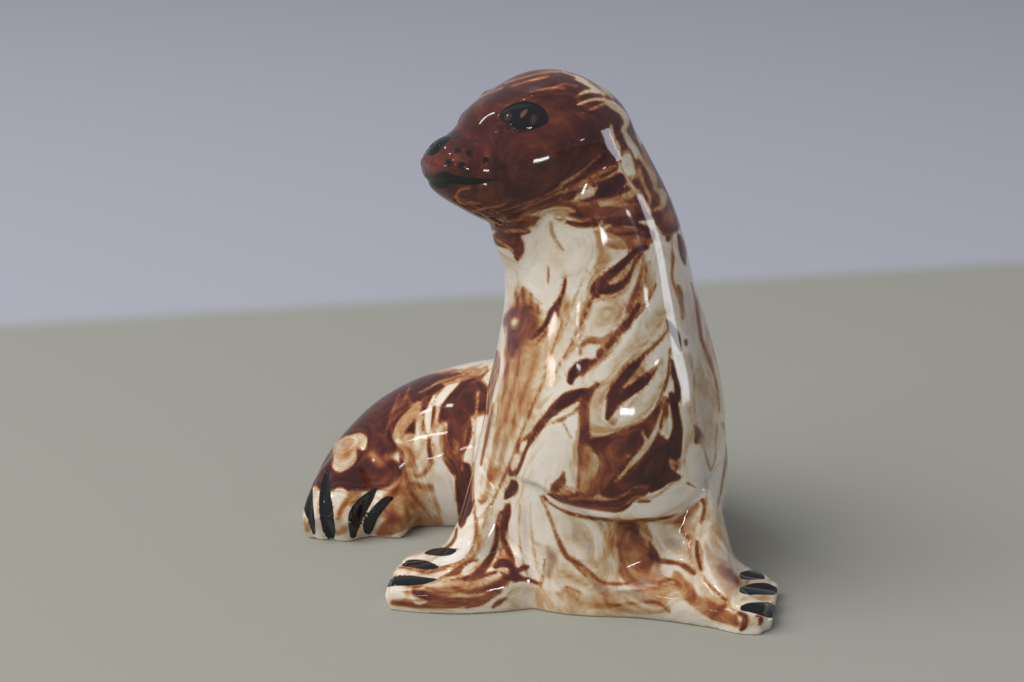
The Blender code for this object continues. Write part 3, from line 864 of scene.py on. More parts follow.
FACE = (
    swirl(DARK, "470,205,6 500,205,12 540,185,16 575,165,16 592,140,14 590,118,12", 1.6),
    swirl(BROWN, "430,165,9 445,158,14 462,154,14 482,150,10", 4),
    swirl(BROWN, "600,185,16 628,190,14 655,200,14 672,225,8", 2),
    # Crown and the back of the head
    swirl(RUSSET, "632,112,5 644,132,8 655,158,9 664,186,9 670,214,8", 2),
    swirl(BROWN, "622,118,3 630,138,5 640,162,6 650,190,6", 2),
    swirl(TAN, "505,83,0.5 525,77,0.9 545,72.5,0.9 560,72,0.6"),
    swirl(TAN, "512,86,0.5 530,80.5,1 548,76.5,0.8"),
    swirl(OCHRE, "470,102,0.6 486,94,1 502,88,0.8"),
    swirl(IVORY, "563,72,0.8 575,77,2 585,82,2.6 594,88,2.4 604,95,2"),
    swirl(SAND, "577,73,1 592,80,1.6 604,89,1.8 613,98,1.4"),
    swirl(SAND, "627,140,0.8 640,154,1.4 650,170,1.6 658,188,1"),
    swirl(DARK, "560,76,2 568,77,2.5 574,78,1"),
    swirl(OCHRE, "552,88,0.8 565,84,1.2 577,86,1.5"),
    swirl(SAND, "530,92,0.5 550,88,1 566,88,0.6"),
    swirl(CREAM, "577,96,1 588,91,1.8 598,92,2"),
    swirl(CREAM, "577,105,0.8 590,100,1.6 604,99,2"),
    swirl(TAN, "580,113,0.5 592,109,1 603,104,1.6 612,103,3"),
    swirl(IVORY, "606,100,2 614,106,4 622,112,3.5 627,122,3 623,131,2"),
    swirl(DARK, "611,113,2 617,118,3 617,126,2.5"),
    swirl(IVORY, "623,128,1.5 628,140,3.5 635,150,3.5 636,158,1.5"),
    swirl(IVORY, "611,126,1.6 613,137,2.6 618,148,2.6 620,158,1.6"),
    swirl(SAND, "640,157,1.5 647,166,3.2 653,177,3.2 655,185,1.5"),
    swirl(SAND, "655,188,2 663,194,4 662,206,3 655,210,2"),
    swirl(TAN, "640,170,1.5 644,185,2 650,198,2 648,207,1.5"),
    # Cheek
    swirl(RUST, "520,209,0.6 545,195,1 565,183,1.4 580,174,1.4 594,160,1.2 608,148,0.8"),
    swirl(TAN, "560,184,0.8 575,176,1.4 590,164,1 600,156,0.6"),
    swirl(OCHRE, "575,187,1 590,178,2.2 602,172,2.2 615,166,1.4"),
    swirl(SAND, "572,201,1.6 582,196,4 592,192,4.5 602,190,2"),
    swirl(DEEP, "598,196,4 608,188,7 618,182,6 622,176,3"),
    swirl(TAN, "600,205,2 616,200,3.5 632,194,3.5 640,190,1.6"),
    swirl(OCHRE, "562,193,0.8 580,187,1.5 600,180,1.2 612,176,0.8"),
    swirl(OCHRE, "455,198,0.8 458,192,1.1 463,189,1.2 469,188,0.9"),
    swirl(OCHRE, "456,196,0.8 459,202,1.1 466,205,0.8"),
    swirl(OCHRE, "468,202,0.8 474,203,1.1 480,204,0.6"),
    swirl(OCHRE, "470,213,1 486,208,1.6 500,206,1.2 508,202,0.5"),
    swirl(RUST, "525,215,0.8 545,206,1.2 570,203,1.2 600,208,1"),
    swirl(TAN, "490,214,0.4 515,207,0.8 540,198,0.8 562,187,0.6"),
    swirl(AMBER, "500,218,0.5 525,208,1 552,196,1 580,182,0.8 604,164,0.6"),
    swirl(TAN, "575,206,0.8 596,202,1.2 618,206,1.2 636,206,0.8"),
    swirl(SAND, "606,178,0.6 620,170,1.2 630,164,0.8"),
    swirl(TAN, "622,188,0.8 634,178,1.2 640,166,0.8"),
    swirl(AMBER, "560,200,0.8 585,203,1.2 610,198,1.2 634,200,1"),
    # Painted reflection: a pale line down the back of the cheek, where the glaze mirrors a window
    swirl(IVORY, "616,158,0.8 624,172,1.6 632,186,2 641,198,2.2 650,212,2.4"),
)

NECK = (
    swirl(
        CREAM,
        "515,270,16 540,250,26 570,260,36 560,300,36 545,330,30 "
        "570,350,40 620,330,46 660,300,40 690,340,30",
        soft=3,
    ),
    swirl(CREAM, "600,380,46 560,430,50 640,430,50 690,450,40 620,490,40 700,500,20", 3),
    # Under the jaw
    swirl(RUSSET, "486,224,5 500,223,9 516,222,11 530,218,9", 1.4),
    swirl(BROWN, "500,238,8 512,241,9 518,250,6 517,259,2"),
    swirl(TAN, "503,232,1 515,230.5,2 527,231,1.6 531,226,1"),
    swirl(DARK, "512,235,0.8 522,234,1.2 530,232,0.8"),
    swirl(TAN, "497,240,0.6 507,246,0.8 513,251,0.8"),
    swirl(TAN, "505,222,0.5 518,220,0.8 530,219,0.5"),
    swirl(RUSSET, "535,215,4 550,208,4 570,205,5 595,209,7 620,212,8 648,212,8"),
    swirl(SAND, "528,216,1 545,212,3 560,210,4 575,211,2"),
    swirl(CREAM, "543,224,6 548,218,4 551,213,2"),
    swirl(DARK, "555,218,0.8 568,222,2 582,225,3 598,222,4 620,220,4 645,216,4"),
    swirl(OCHRE, "551,222,1.2 552,232,2 557,242,2.2 563,250,1.4"),
    swirl(RUST, "612,232,7 630,236,9 648,236,8", strength=0.85),
    swirl(AMBER, "606,243,3 622,246,4 642,246,3.4"),
    swirl(DARK, "606,230,0.6 620,234,1 636,233,1.4 648,237,1"),
    swirl(TAN, "606,237,0.6 620,240,0.8 638,240,0.8"),
    swirl(DARK, "612,226,1 628,224,2 645,228,3 650,235,2"),
    swirl(AMBER, "602,222,2 600,235,3 601,250,3 597,260,1.5"),
    swirl(OCHRE, "592,226,1 597,236,2 598,248,1.6"),
    swirl(OCHRE, "602,250,2 598,262,1.5 590,274,1 584,283,1 577,293,1 570,306,1 564,322,0.7"),
    swirl(OCHRE, "588,268,0.7 581,284,0.8 574,302,0.9 567,322,1 558,342,0.8"),
    # Blob at the left edge, which runs down into an ochre band
    swirl(TAN, "566,300,6 556,335,12 540,372,16 524,415,16 508,455,14 494,490,8", 4, strength=0.5),
    swirl(AMBER, "522,288,4 526,302,9 532,318,11 528,338,14 518,360,12", 4, strength=0.8),
    swirl(RUSSET, "506,322,3 515,312,6 526,316,9 527,328,10 518,340,11 512,352,7", 2.4),
    swirl(RUSSET, "516,293,0.6 518,306,2.4", 1.5),
    swirl(RUSSET, "523,289,0.6 524,304,2.4", 1.5),
    swirl(RUSSET, "531,294,0.6 531,308,2.4", 1.5),
    swirl(RUST, "538,302,0.6 537,314,2", 1.5),
    swirl(BROWN, "507,320,2 511,332,4 515,342,4", 3),
    swirl(DARK, "532,338,1.6 539,332,2.6 545,324,1.6 549,316,0.8"),
    swirl(RUSSET, "526,350,1 538,342,1.6 548,330,1"),
    swirl(
        OCHRE,
        "530,350,10 525,368,16 516,390,17 507,415,14 499,440,10 493,465,8 487,485,6 484,499,3",
        soft=2.4,
    ),
    swirl(TAN, "528,360,3 521,385,5 512,410,4 503,440,3", 2.4),
    swirl(SAND, "548,350,3 541,372,5 532,395,5 523,415,3", 2.4, strength=0.8),
    swirl(AMBER, "536,356,0.6 530,376,1 522,398,1 513,422,0.8"),
    swirl(RUST, "519,352,0.8 517,372,1 511,396,1.2 505,420,1 499,446,0.8"),
    swirl(RUST, "509,352,1.4 507,370,2.2 505,388,2.4 501,402,1.2"),
    swirl(AMBER, "516,360,1 514,385,1.5 509,405,1.5 505,425,1"),
    swirl(SAND, "504,425,1.5 500,445,2.5 496,465,2"),
    swirl(
        RUST,
        "548,368,0.8 540,388,0.9 532,408,1 523,430,1.1 515,450,1.2 508,468,1.2 499,488,1.2 491,506,1",
    ),
    swirl(RUST, "497,352,2 497,365,3 493,380,4 489,396,4 486,412,3"),
    swirl(TAN, "499,352,0.6 496,362,0.8 491,370,0.8"),
    swirl(TAN, "499,362,0.6 495,372,0.8 489,382,0.8"),
    swirl(TAN, "497,374,0.6 492,386,0.8 487,396,0.8"),
    swirl(IVORY, "497,404,1.2 494,425,1.8 490,447,2.2 486,470,2.2 482,492,2"),
    swirl(RUSSET, "493,404,0.8 489,425,1.2 485,445,1.6 481,465,1.2"),
)

CHEST = (
    # Tan stains between the swirls
    swirl(TAN, "640,262,8 628,292,14 614,318,16 596,346,14", 4, strength=0.55),
    swirl(TAN, "664,310,8 652,336,14 636,360,16 618,388,14", 4, strength=0.6),
    swirl(TAN, "604,240,6 596,270,8 586,300,8 574,335,8 558,372,8", 4, strength=0.45),
    swirl(SAND, "700,300,10 704,350,14 706,400,14 712,450,12 704,486,10", 4, strength=0.6),
    swirl(OCHRE, "606,252,0.5 600,268,0.8 592,288,0.8 584,310,0.8 574,334,0.8"),
    swirl(TAN, "618,300,0.6 608,314,1 594,334,1 582,352,0.6"),
    swirl(AMBER, "626,304,0.5 616,320,0.8 602,336,0.8"),
    swirl(OCHRE, "662,322,0.6 648,340,0.9 632,356,0.9 618,372,0.7"),
    swirl(RUST, "568,300,0.4 562,322,0.8 554,346,0.8 545,368,0.5"),
    swirl(RUSSET, "548,267,0.5 548.5,275,1.1 548,283,0.5"),
    swirl(DARK, "565,272,0.6 565,283,1.6 562,295,1.8 556,306,2.2 550,314,2.8 547,323,1.8 543,331,0.8"),
    swirl(RUST, "562,296,1 558,312,1.2 561,320,0.8 562,330,0.6"),
    # Hooked leaf near the top
    swirl(DARK, "646,247,3 636,251,3 627,260,3.4 617,269,4.4 606,279,5.4 598,287,6 596,293,4.6 599,297,2"),
    swirl(DARK, "642,253,1.4 635,262,1.8 631,272,2 626,281,3 618,287,4.4 608,290,4.6 600,291,4"),
    swirl(TAN, "632,262,0.8 626,270,1.4 621,277,2.6 614,281,2.2 609,283,1"),
    swirl(OCHRE, "596,300,0.8 606,297,1.4 616,297,1.4 623,291,1.2 627,284,0.8"),
    swirl(IVORY, "600,306,6 608,318,8 600,330,8 612,312,8", 2),
    swirl(SAND, "603,262,3 608,258,4 602,270,2"),
    swirl(
        RUSSET,
        "600,274,1 596,292,2 591,301,1.6 586,313,1.5 580,326,1.3 "
        "574,339,1 568,351,1 560,364,0.9 554,376,0.6",
    ),
    swirl(OCHRE, "592,306,0.7 584,328,0.8 576,345,0.9 566,360,0.8"),
    # Leaf beside it
    swirl(RUST, "644,256,1 641,272,1.8 637,288,2.2 632,301,2.4 628,312,2"),
    swirl(TAN, "650,262,2 651,276,4 647,290,4.4 641,302,3.6 635,312,2"),
    swirl(RUSSET, "656,284,0.8 651,295,1.1 644,307,1.2 636,318,1.4"),
    swirl(RUST, "647,262,0.6 646,278,1 642,290,1 637,300,0.8"),
    # Long streak from the upper right to the lower left
    swirl(
        BROWN,
        "640,303,2 633,315,3.2 626,325,4.2 618,333,4 610,343,4 "
        "602,352,4.4 592,361,4.4 583,368,5.4 574,373,5.4 569,381,2",
    ),
    swirl(AMBER, "612,334,3 602,341,3.4 592,339,3 583,345,2.4 580,353,1.6"),
    swirl(RUSSET, "606,340,1 596,343,1.4 588,341,1.4 581,346,1.4"),
    swirl(CREAM, "586,351,4 591,350,5 592,355,4"),
    swirl(DEEP, "586,361,2.6 577,367,4 573,374,3.6 571,383,1.6"),
    swirl(OCHRE, "620,340,1 610,351,1.6 600,360,1.6 590,368,1.6 582,376,1"),
    swirl(OCHRE, "601,345,0.8 606,352,1.2 603,357,0.8"),
    # The two leaves below it
    swirl(
        RUSSET,
        "669,329,0.8 660,340,1.6 651,349,2 643,356,2.4 634,366,2.8 624,376,2.8 614,386,2.8 604,396,3",
    ),
    swirl(DARK, "643,357,1.6 633,367,4.4 623,379,5.6 614,392,5.2 610,404,4 607,419,1.6"),
    swirl(TAN, "648,362,1 640,372,2.2 630,381,1.6 624,387,0.8"),
    swirl(DARK, "659,366,1 650,375,3.4 641,383,5 630,391,5.4 619,400,5 612,410,3.4 608,420,1.6"),
    swirl(RUST, "662,360,0.8 655,368,1.4 645,377,1.4"),
    swirl(OCHRE, "640,352,0.8 628,364,1.2 616,378,1.4 606,388,1.4"),
    # Cream bend round them
    swirl(SAND, "606,384,5 598,398,7 595,414,7 597,430,6.4 604,433,4"),
    swirl(SAND, "600,431,5 614,425,6.4 628,416,8 641,405,9 652,393,7.4 659,378,5 663,362,3"),
    swirl(CREAM, "616,424,2 630,413,4.4 643,401,5 653,388,3.4 659,374,2", 2),
    swirl(TAN, "603,392,0.8 599,408,1.4 601,422,1.2 612,420,0.8"),
    swirl(TAN, "601,396,1 598,410,1.6 598,424,1.4"),
    swirl(AMBER, "610,421,1 613,424,1.4 617,420,0.8"),
    swirl(
        OCHRE,
        "592,386,1 587,400,1.4 587,420,1.6 590,436,1.6 600,439,1.4 "
        "616,433,1.4 632,424,1.4 645,414,1.2 655,402,1",
    ),
    # Brown band over the cream oval
    swirl(RUSSET, "600,382,1.6 590,392,3 584,404,5 584,422,5.4 584,440,5.4 584,455,3"),
    swirl(
        BROWN,
        "585,391,2.4 574,396,6.4 563,402,6.6 553,411,5 545,420,4 537,430,3.2 "
        "530,441,2.6 525,452,2.2 521,463,2 516,472,2.6 511,474,2 509,467,1",
    ),
    swirl(DEEP, "582,391,1.6 574,396,3.4 565,402,3.4 556,409,2"),
    swirl(AMBER, "584,404,1.4 574,412,2.4 564,418,2.4 552,424,1.4"),
    swirl(RUST, "534,432,2.4 526,438,2 519,445,1.6 517,452,1.6"),
    swirl(CREAM, "524,444,2.6 522,449,2"),
    swirl(CREAM, "556,428,5 557,441,15 551,456,20 545,470,17 539,483,8", 1.2),
    swirl(WHITE, "569,418,1.4 570,425,3 572,433,2.6"),
    swirl(OCHRE, "577,432,0.8 578,450,1.2 577,466,1.6"),
    swirl(AMBER, "562,420,1.2 566,428,1.4 571,438,1"),
    # The large dark field
    swirl(RUSSET, "604,450,10 616,462,14 614,478,12 606,490,8", 2),
    swirl(BROWN, "592,446,7 610,446,11 630,441,13 648,430,11 658,416,7 666,400,3.4"),
    swirl(DARK, "640,446,13 655,452,17 641,470,17 626,484,14 611,490,9"),
    swirl(DEEP, "671,394,2 675,410,4 677,430,5.4 673,450,9 665,468,11 654,484,9"),
    swirl(DARK, "664,478,7 674,477,5 683,480,1.6"),
    swirl(RUST, "606,456,7 606,470,8 602,484,5", 2),
    swirl(RUST, "612,437,2 626,432,2.4 637,426,2", 2),
    # Ochre tongue in it
    swirl(RUST, "582,448,4 582,468,5 583,484,7 587,493,6 594,488,6 599,474,4 598,458,3"),
    swirl(OCHRE, "588,450,5 589,464,8 588,478,9 586,488,7"),
    swirl(SAND, "594,456,3 594,466,4.4 592,475,2.4"),
    swirl(SAND, "574,442,2 574,458,3 573,472,3 576,484,2"),
    # Wedge under the oval
    swirl(RUSSET, "564,473,1.4 561,482,5 556,489,6 566,492,6 577,494,3.4"),
    swirl(SAND, "562,490,1.4 569,488,2.8 574,491,1.4"),
    swirl(TAN, "549,491,0.8 558,494,1 570,496,0.8"),
    # Pale streak through the dark field
    swirl(
        IVORY,
        "665,399,0.8 661,414,1.6 656,430,2.2 650,441,3 643,451,3.4 "
        "634,461,2.8 626,470,2.2 620,477,1.5 615,482,0.6",
    ),
    swirl(IVORY, "642,432,0.8 646,440,1.6 645,447,1.4"),
    swirl(SAND, "664,420,1 667,429,2 666,436,1.4"),
    swirl(RUST, "664,405,1 667,412,2 666,419,1"),
    swirl(TAN, "671,461,3 676,467,5 681,462,4"),
    swirl(RUSSET, "674,464,1 677,468,1.4 679,463,0.8"),
    # Bands along the lower edge
    swirl(BROWN, "548,494,1 562,499,3.4 582,504,6 604,507,7 620,505,7 632,497,5 644,491,4"),
    swirl(AMBER, "616,499,1 626,494,1.5 636,488,1.6 648,487,1"),
    swirl(OCHRE, "568,499,0.6 586,499,0.9 604,500,0.9 612,499,0.5"),
    swirl(RUST, "560,503,0.6 580,507,0.9 602,510,0.9 618,510,0.5"),
    swirl(WHITE, "660,500,10 676,497,13 692,489,15 706,478,15 712,460,12", 1.2),
    swirl(WHITE, "630,512,3 640,508,7.4 652,508,8.4 665,507,8 680,502,8"),
    swirl(BROWN, "638,502,1 643,501,1.8 649,501,1"),
    swirl(OCHRE, "626,505,0.6 632,500,1 640,497,1 652,497,1 661,493,1 670,485,1 681,482,0.8"),
    swirl(
        WHITE,
        "541,494,0.6 550,499,1.6 560,504.5,2.2 575,509,2.2 590,512,2.2 606,514,2 620,514,1.6 628,511,1.4",
    ),
    swirl(
        BROWN,
        "543,496,0.8 552,504.5,1.3 565,511.5,1.5 580,516,1.7 600,519,1.9 620,521,2.2 "
        "640,521,2.2 660,519,1.7 675,515,1.5 690,508,1.3 702,500,1",
    ),
    swirl(RUSSET, "687,483,0.6 691,485,1.2 696,488,0.6"),
)

RIGHT_EDGE = (
    swirl(BROWN, "660,222,5 668,230,6 674,224,4 668,240,2"),
    swirl(DARK, "679,236,2 682,248,3.6 684,259,2 685,264,0.8"),
    swirl(AMBER, "671,236,1 673,258,1.4 672,276,1.4 676,290,1.6 680,300,2.4 683,314,3 682,320,1"),
    swirl(RUSSET, "678,286,1 681,295,2 682,306,2"),
    swirl(DEEP, "667,321,0.8 671,327,2.4 676,336,3.4 679,345,2 681,352,0.8"),
    swirl(DEEP, "686,341,1.6 686,344,1.6"),
    swirl(
        RUSSET,
        "691,283,0.6 696,300,1.2 698,316,1.8 700,328,1.8 702,340,1.6 "
        "708,356,1.6 714,374,1.4 718,395,1.2 720,412,0.8",
    ),
    swirl(TAN, "700,305,0.8 706,325,1.4 712,345,1.4 718,368,1"),
    swirl(OCHRE, "690,352,0.6 694,380,0.9 694,405,1 697,425,1 704,440,1"),
    swirl(RUSSET, "670,348,0.8 669,364,1.5 667,380,1.6 662,394,1.6 657,404,1"),
    swirl(DEEP, "672,360,0.8 674,374,2.4 677,386,3 678,398,3"),
    swirl(SAND, "683,455,1 690,440,3 694,425,3 690,408,2", 1.6),
    swirl(DARK, "695,426,1.6 698,435,2.6 696,442,1.8"),
    swirl(OCHRE, "700,440,0.8 705,452,1 708,463,1.2 711,470,1 715,458,1 716,440,0.9 717,424,0.7"),
    swirl(RUST, "723,424,1.2 727,440,2.2 727,456,2.2 724,472,1.8 721,490,1.4 718,505,0.8"),
    swirl(TAN, "705,478,0.8 707,492,1.2 706,505,1"),
)

SKIRT = (
    swirl(CREAM, "530,520,22 560,545,26 600,560,30 640,585,22 560,580,16 690,600,14", 3),
    swirl(IVORY, "690,520,16 712,530,14 722,560,16 735,590,14", 3),
    # Broad tan and sand washes: partly the slip's own tan, partly painted shade on the skirt under the
    # chest's overhang, deepest along its lower band
    swirl(TAN, "520,600,12 560,604,12 610,606,12 660,606,10", 4, strength=0.85),
    swirl(TAN, "560,520,6 580,535,14 600,550,16 612,572,14", 5, strength=0.5),
    swirl(SAND, "560,575,8 590,585,8 625,592,8 660,592,8", 4, strength=0.8),
    swirl(OCHRE, "520,505,0.6 519,530,1 522,556,1 527,574,0.8"),
    swirl(TAN, "530,500,0.6 531,525,1.2 534,550,1.2 538,572,0.8"),
    # More broad washes, partly the slip's tan and partly painted shade
    swirl(TAN, "622,528,14 634,556,22 652,580,16 676,590,10", 4, strength=0.7),
    swirl(TAN, "690,524,12 694,556,14 712,585,16 724,608,14", 4, strength=0.65),
    swirl(SAND, "715,515,8 728,548,12 740,572,10", 4, strength=0.8),
    swirl(TAN, "562,572,0.8 580,582,1.6 600,592,1.8 622,597,1.8 648,595,1.4 668,596,1"),
    swirl(CREAM, "570,568,0.8 586,577,1.4 604,588,1.6 628,588,1.2 650,592,1"),
    swirl(RUST, "545,560,0.6 543,574,1 541,588,0.8"),
    swirl(AMBER, "548,548,2 552,560,4 549,574,3", 2, strength=0.8),
    swirl(
        RUST,
        "541,497,0.9 547,510,1.3 552,523,1.6 556,535,1.9 562,548,2.2 568,558,2.4 580,565,2.2 "
        "591,574,2.4 601,582,2 615,584,1.8 628,583,1.8 633,578,1.4 631,573,0.8",
    ),
    swirl(SAND, "562,524,1.6 566,540,2 574,553,2", 1.6),
    swirl(TAN, "600,524,3 606,540,3 603,556,3 596,566,2", 1.6),
    swirl(AMBER, "609,526,2 611,542,2 608,556,1.6", 1.4),
    swirl(AMBER, "622,530,8 632,545,13 632,560,12 650,570,10 640,580,6 625,572,7", 2),
    swirl(
        RUSSET,
        "622,525,4 634,528,5 634,540,4 642,548,3 652,556,3 662,561,2.6 676,563,2.2 686,567,3 694,573,2.4",
    ),
    swirl(RUST, "618,545,3 632,548,3.4 646,551,3", 2),
    swirl(RUSSET, "648,538,1.4 652,547,2 658,556,2"),
    swirl(OCHRE, "645,528,4 650,538,3 640,524,3", 1.6),
    swirl(IVORY, "662,529,5 666,540,9 673,549,8 682,544,8 676,533,7", 1.4),
    swirl(TAN, "655,524,1.6 672,522,2.6 684,526,2.6 694,530,2"),
    swirl(AMBER, "676,522,1.4 688,514,3 698,506,3"),
    swirl(RUSSET, "703,499,1.2 704,511,2 701,522,1.2"),
    swirl(RUST, "684,520,0.8 682,530,1.4 688,538,1.2"),
    swirl(DARK, "697,541,0.8 697,552,1.8 699,562,1.6 701,570,0.8"),
    swirl(OCHRE, "690,535,1 690,550,1.5 692,564,1.2"),
    swirl(SAND, "656,570,4 663,574,4", 1.4),
    swirl(RUST, "640,580,1.4 655,583,2 668,580,2 680,577,2"),
    swirl(AMBER, "620,592,1.6 636,591,1.6 655,588,1.6 670,585,2 682,583,2.2"),
    swirl(TAN, "580,566,0.6 592,580,1 608,590,1.2 624,594,0.8"),
    swirl(RUSSET, "574,565,0.5 582,572,0.9 589,580,0.9 596,586,0.5"),
    swirl(
        RUST,
        "579,604,0.7 592,606,1.5 612,606,1.1 634,603,0.9 650,602,1.3 660,604,1.3 667,609,1 670,613,0.7",
    ),
    swirl(SAND, "548,600,8 575,611,5 605,613,4.4 640,610,5 655,609,4"),
    swirl(SAND, "515,594,9 535,597,10 556,600,8", 1.6),
    swirl(AMBER, "560,593,1.4 567,590,3 573,596,3 578,600,1.4", 1.6),
    swirl(RUST, "566,587,0.8 574,590,1.4 581,593,1"),
    # The left front flipper
    swirl(AMBER, "676,574,4 686,590,6 696,602,7 710,609,8 724,617,7 736,622,5", 1.6),
    swirl(RUST, "688,585,2.4 692,594,3", 2),
    swirl(RUST, "718,611,2 724,606,3 712,617,2", 1.6),
    swirl(CREAM, "672,604,3 684,610,5 696,614,4", 2),
    swirl(TAN, "704,545,5 714,560,8 722,578,9 733,590,7", 2),
    swirl(RUST, "722,568,4 730,576,5 738,583,3", 2.4),
    swirl(CREAM, "712,530,1 722,545,1.4 733,560,1"),
    swirl(CREAM, "703,540,0.8 705,560,1.2 712,578,1.4 724,596,1.4"),
    swirl(RUSSET, "703,576,0.8 712,588,1.2 726,600,1.2"),
    swirl(SAND, "742,583,2 756,581,2.4 768,581,2"),
    swirl(SAND, "742,599,2.4 757,598,2.6 773,598,2.4"),
    swirl(IVORY, "742,616,4 756,622,6 768,624,4 774,620,2"),
    swirl(BROWN, "739,613,1.4 745,617,3 744,625,3 741,630,1.4"),
    swirl(RUST, "736,615,0.8 737,624,1"),
    swirl(BROWN, "757,616,1.4 761,619,2.6 760,624,1.4"),
)

RIGHT_FLIPPER = (
    swirl(CREAM, "485,520,12 470,545,16 440,565,14 410,590,14 450,590,16 490,570,16", 3),
    swirl(WHITE, "447,545,6 460,548,9 452,558,7 468,540,6 472,520,5"),
    # Dark streak beside the chest
    swirl(DARK, "512,481,1.4 514,486,5 509,493,4 505,500,1.4"),
    swirl(
        BROWN,
        "508,504,3 507,513,4.4 504,524,4.4 503,537,3.4 507,549,3.4 511,560,3.4 513,570,4.4 516,577,5",
    ),
    swirl(BROWN, "512,578,3 524,579,2.6 532,581,1.6 541,585,1"),
    swirl(BROWN, "517,571,2 523,568,3 528,567,1.4"),
    swirl(CREAM, "498,503,1 505,502,1.6 513,500,3"),
    swirl(AMBER, "503,542,1 501,552,2.4 505,558,2", 1.4),
    swirl(
        BROWN,
        "500,512,1 497,524,1.6 497,538,2.2 494,550,3.2 489,560,3.6 481,570,4.6 474,577,4 466,579,2",
    ),
    swirl(DARK, "496,566,3 502,563,4.4 510,564,4"),
    swirl(BROWN, "502,572,2 508,576,4 500,580,2"),
    swirl(SAND, "495,572,1 502,570,1.6 508,574,1"),
    swirl(RUST, "502,540,0.5 500,554,0.8 496,565,0.6"),
    # Lines down the arm
    swirl(SAND, "490,510,4 486,525,4 483,540,4 480,552,3", 1.6),
    swirl(
        RUST,
        "474,500,0.8 475,516,1.2 477,529,2.2 475,540,1.5 471,551,1.4 "
        "463,560,1.5 452,565,1.4 438,568,1.2 424,571,1",
    ),
    swirl(AMBER, "488,510,1 484,524,1.2 480,538,1.6 477,551,2.2 470,560,2.6 462,563,1.4"),
    swirl(AMBER, "478,519,0.8 484,514,1.2 490,504,0.8"),
    swirl(RUSSET, "457,529,0.8 455,538,1.5 449,546,1.6 441,549,0.8"),
    swirl(RUST, "478,500,0.6 482,503,1.2 486,500,0.6"),
    # Toes
    swirl(RUST, "404,590,3 424,592,6 448,590,7 474,588,7 500,584,6", 2, strength=0.75),
    swirl(RUSSET, "395,602,2 414,604,3.4 440,605,3.6 470,603,3.4 488,598,2", 1.4),
    swirl(IVORY, "398,589,1.4 416,588,1.8 440,586,1.4 462,582,1"),
    swirl(SAND, "430,599,0.8 452,597,1.2 474,594,1.2 494,588,0.8"),
    swirl(RUSSET, "440,582,0.8 460,579,1.6 478,577,2.4 496,572,1.6"),
    swirl(AMBER, "400,567,0.8 412,569,1.5 428,572,2.2 445,569,1.6"),
    swirl(RUSSET, "440,578,0.8 450,574,3 457,571,4 462,566,1.6"),
    swirl(IVORY, "436,576,0.6 448,571,0.9 458,565,0.8"),
    swirl(RUSSET, "462,568,0.6 470,562,1.2 478,560,1"),
    swirl(SAND, "466,573,1 474,567,2.4 481,562,1.4"),
    swirl(BROWN, "414,592,1.4 424,595,4.4 436,598,4 450,599,2 466,598.5,1.6 481,598,1"),
    swirl(AMBER, "404,584,1 416,586,2.4 430,582,1.6 446,578,1"),
    swirl(SAND, "428,586,4 446,585,4 460,583,3", 1.6),
    swirl(RUSSET, "426,588,0.8 440,592,1.6 452,594,1"),
    swirl(RUSSET, "454,588,1.4 466,592,2.6 480,590,3 492,586,3.2 506,582,3"),
    swirl(SAND, "480,584,1.6 490,581,2.2 500,578,1"),
    swirl(RUST, "393,603,3 410,604,3 430,605,3.6 450,605,3.6 466,603,3", 1.4),
    swirl(TAN, "395,600,1 405,600,1.6 413,601,1"),
    swirl(CREAM, "414,602,0.8 420,603,1.6 426,602,0.8"),
    swirl(RUSSET, "476,601,1 490,594,2.2 501,587,1.6"),
    swirl(RUSSET, "466,608,1 480,604,2 492,597,2 502,591,1.2"),
    swirl(RUSSET, "493,607,1.4 499,602,3 506,598,1"),
    swirl(IVORY, "396,608,1.4 430,611,1.6 462,610,1.4"),
)

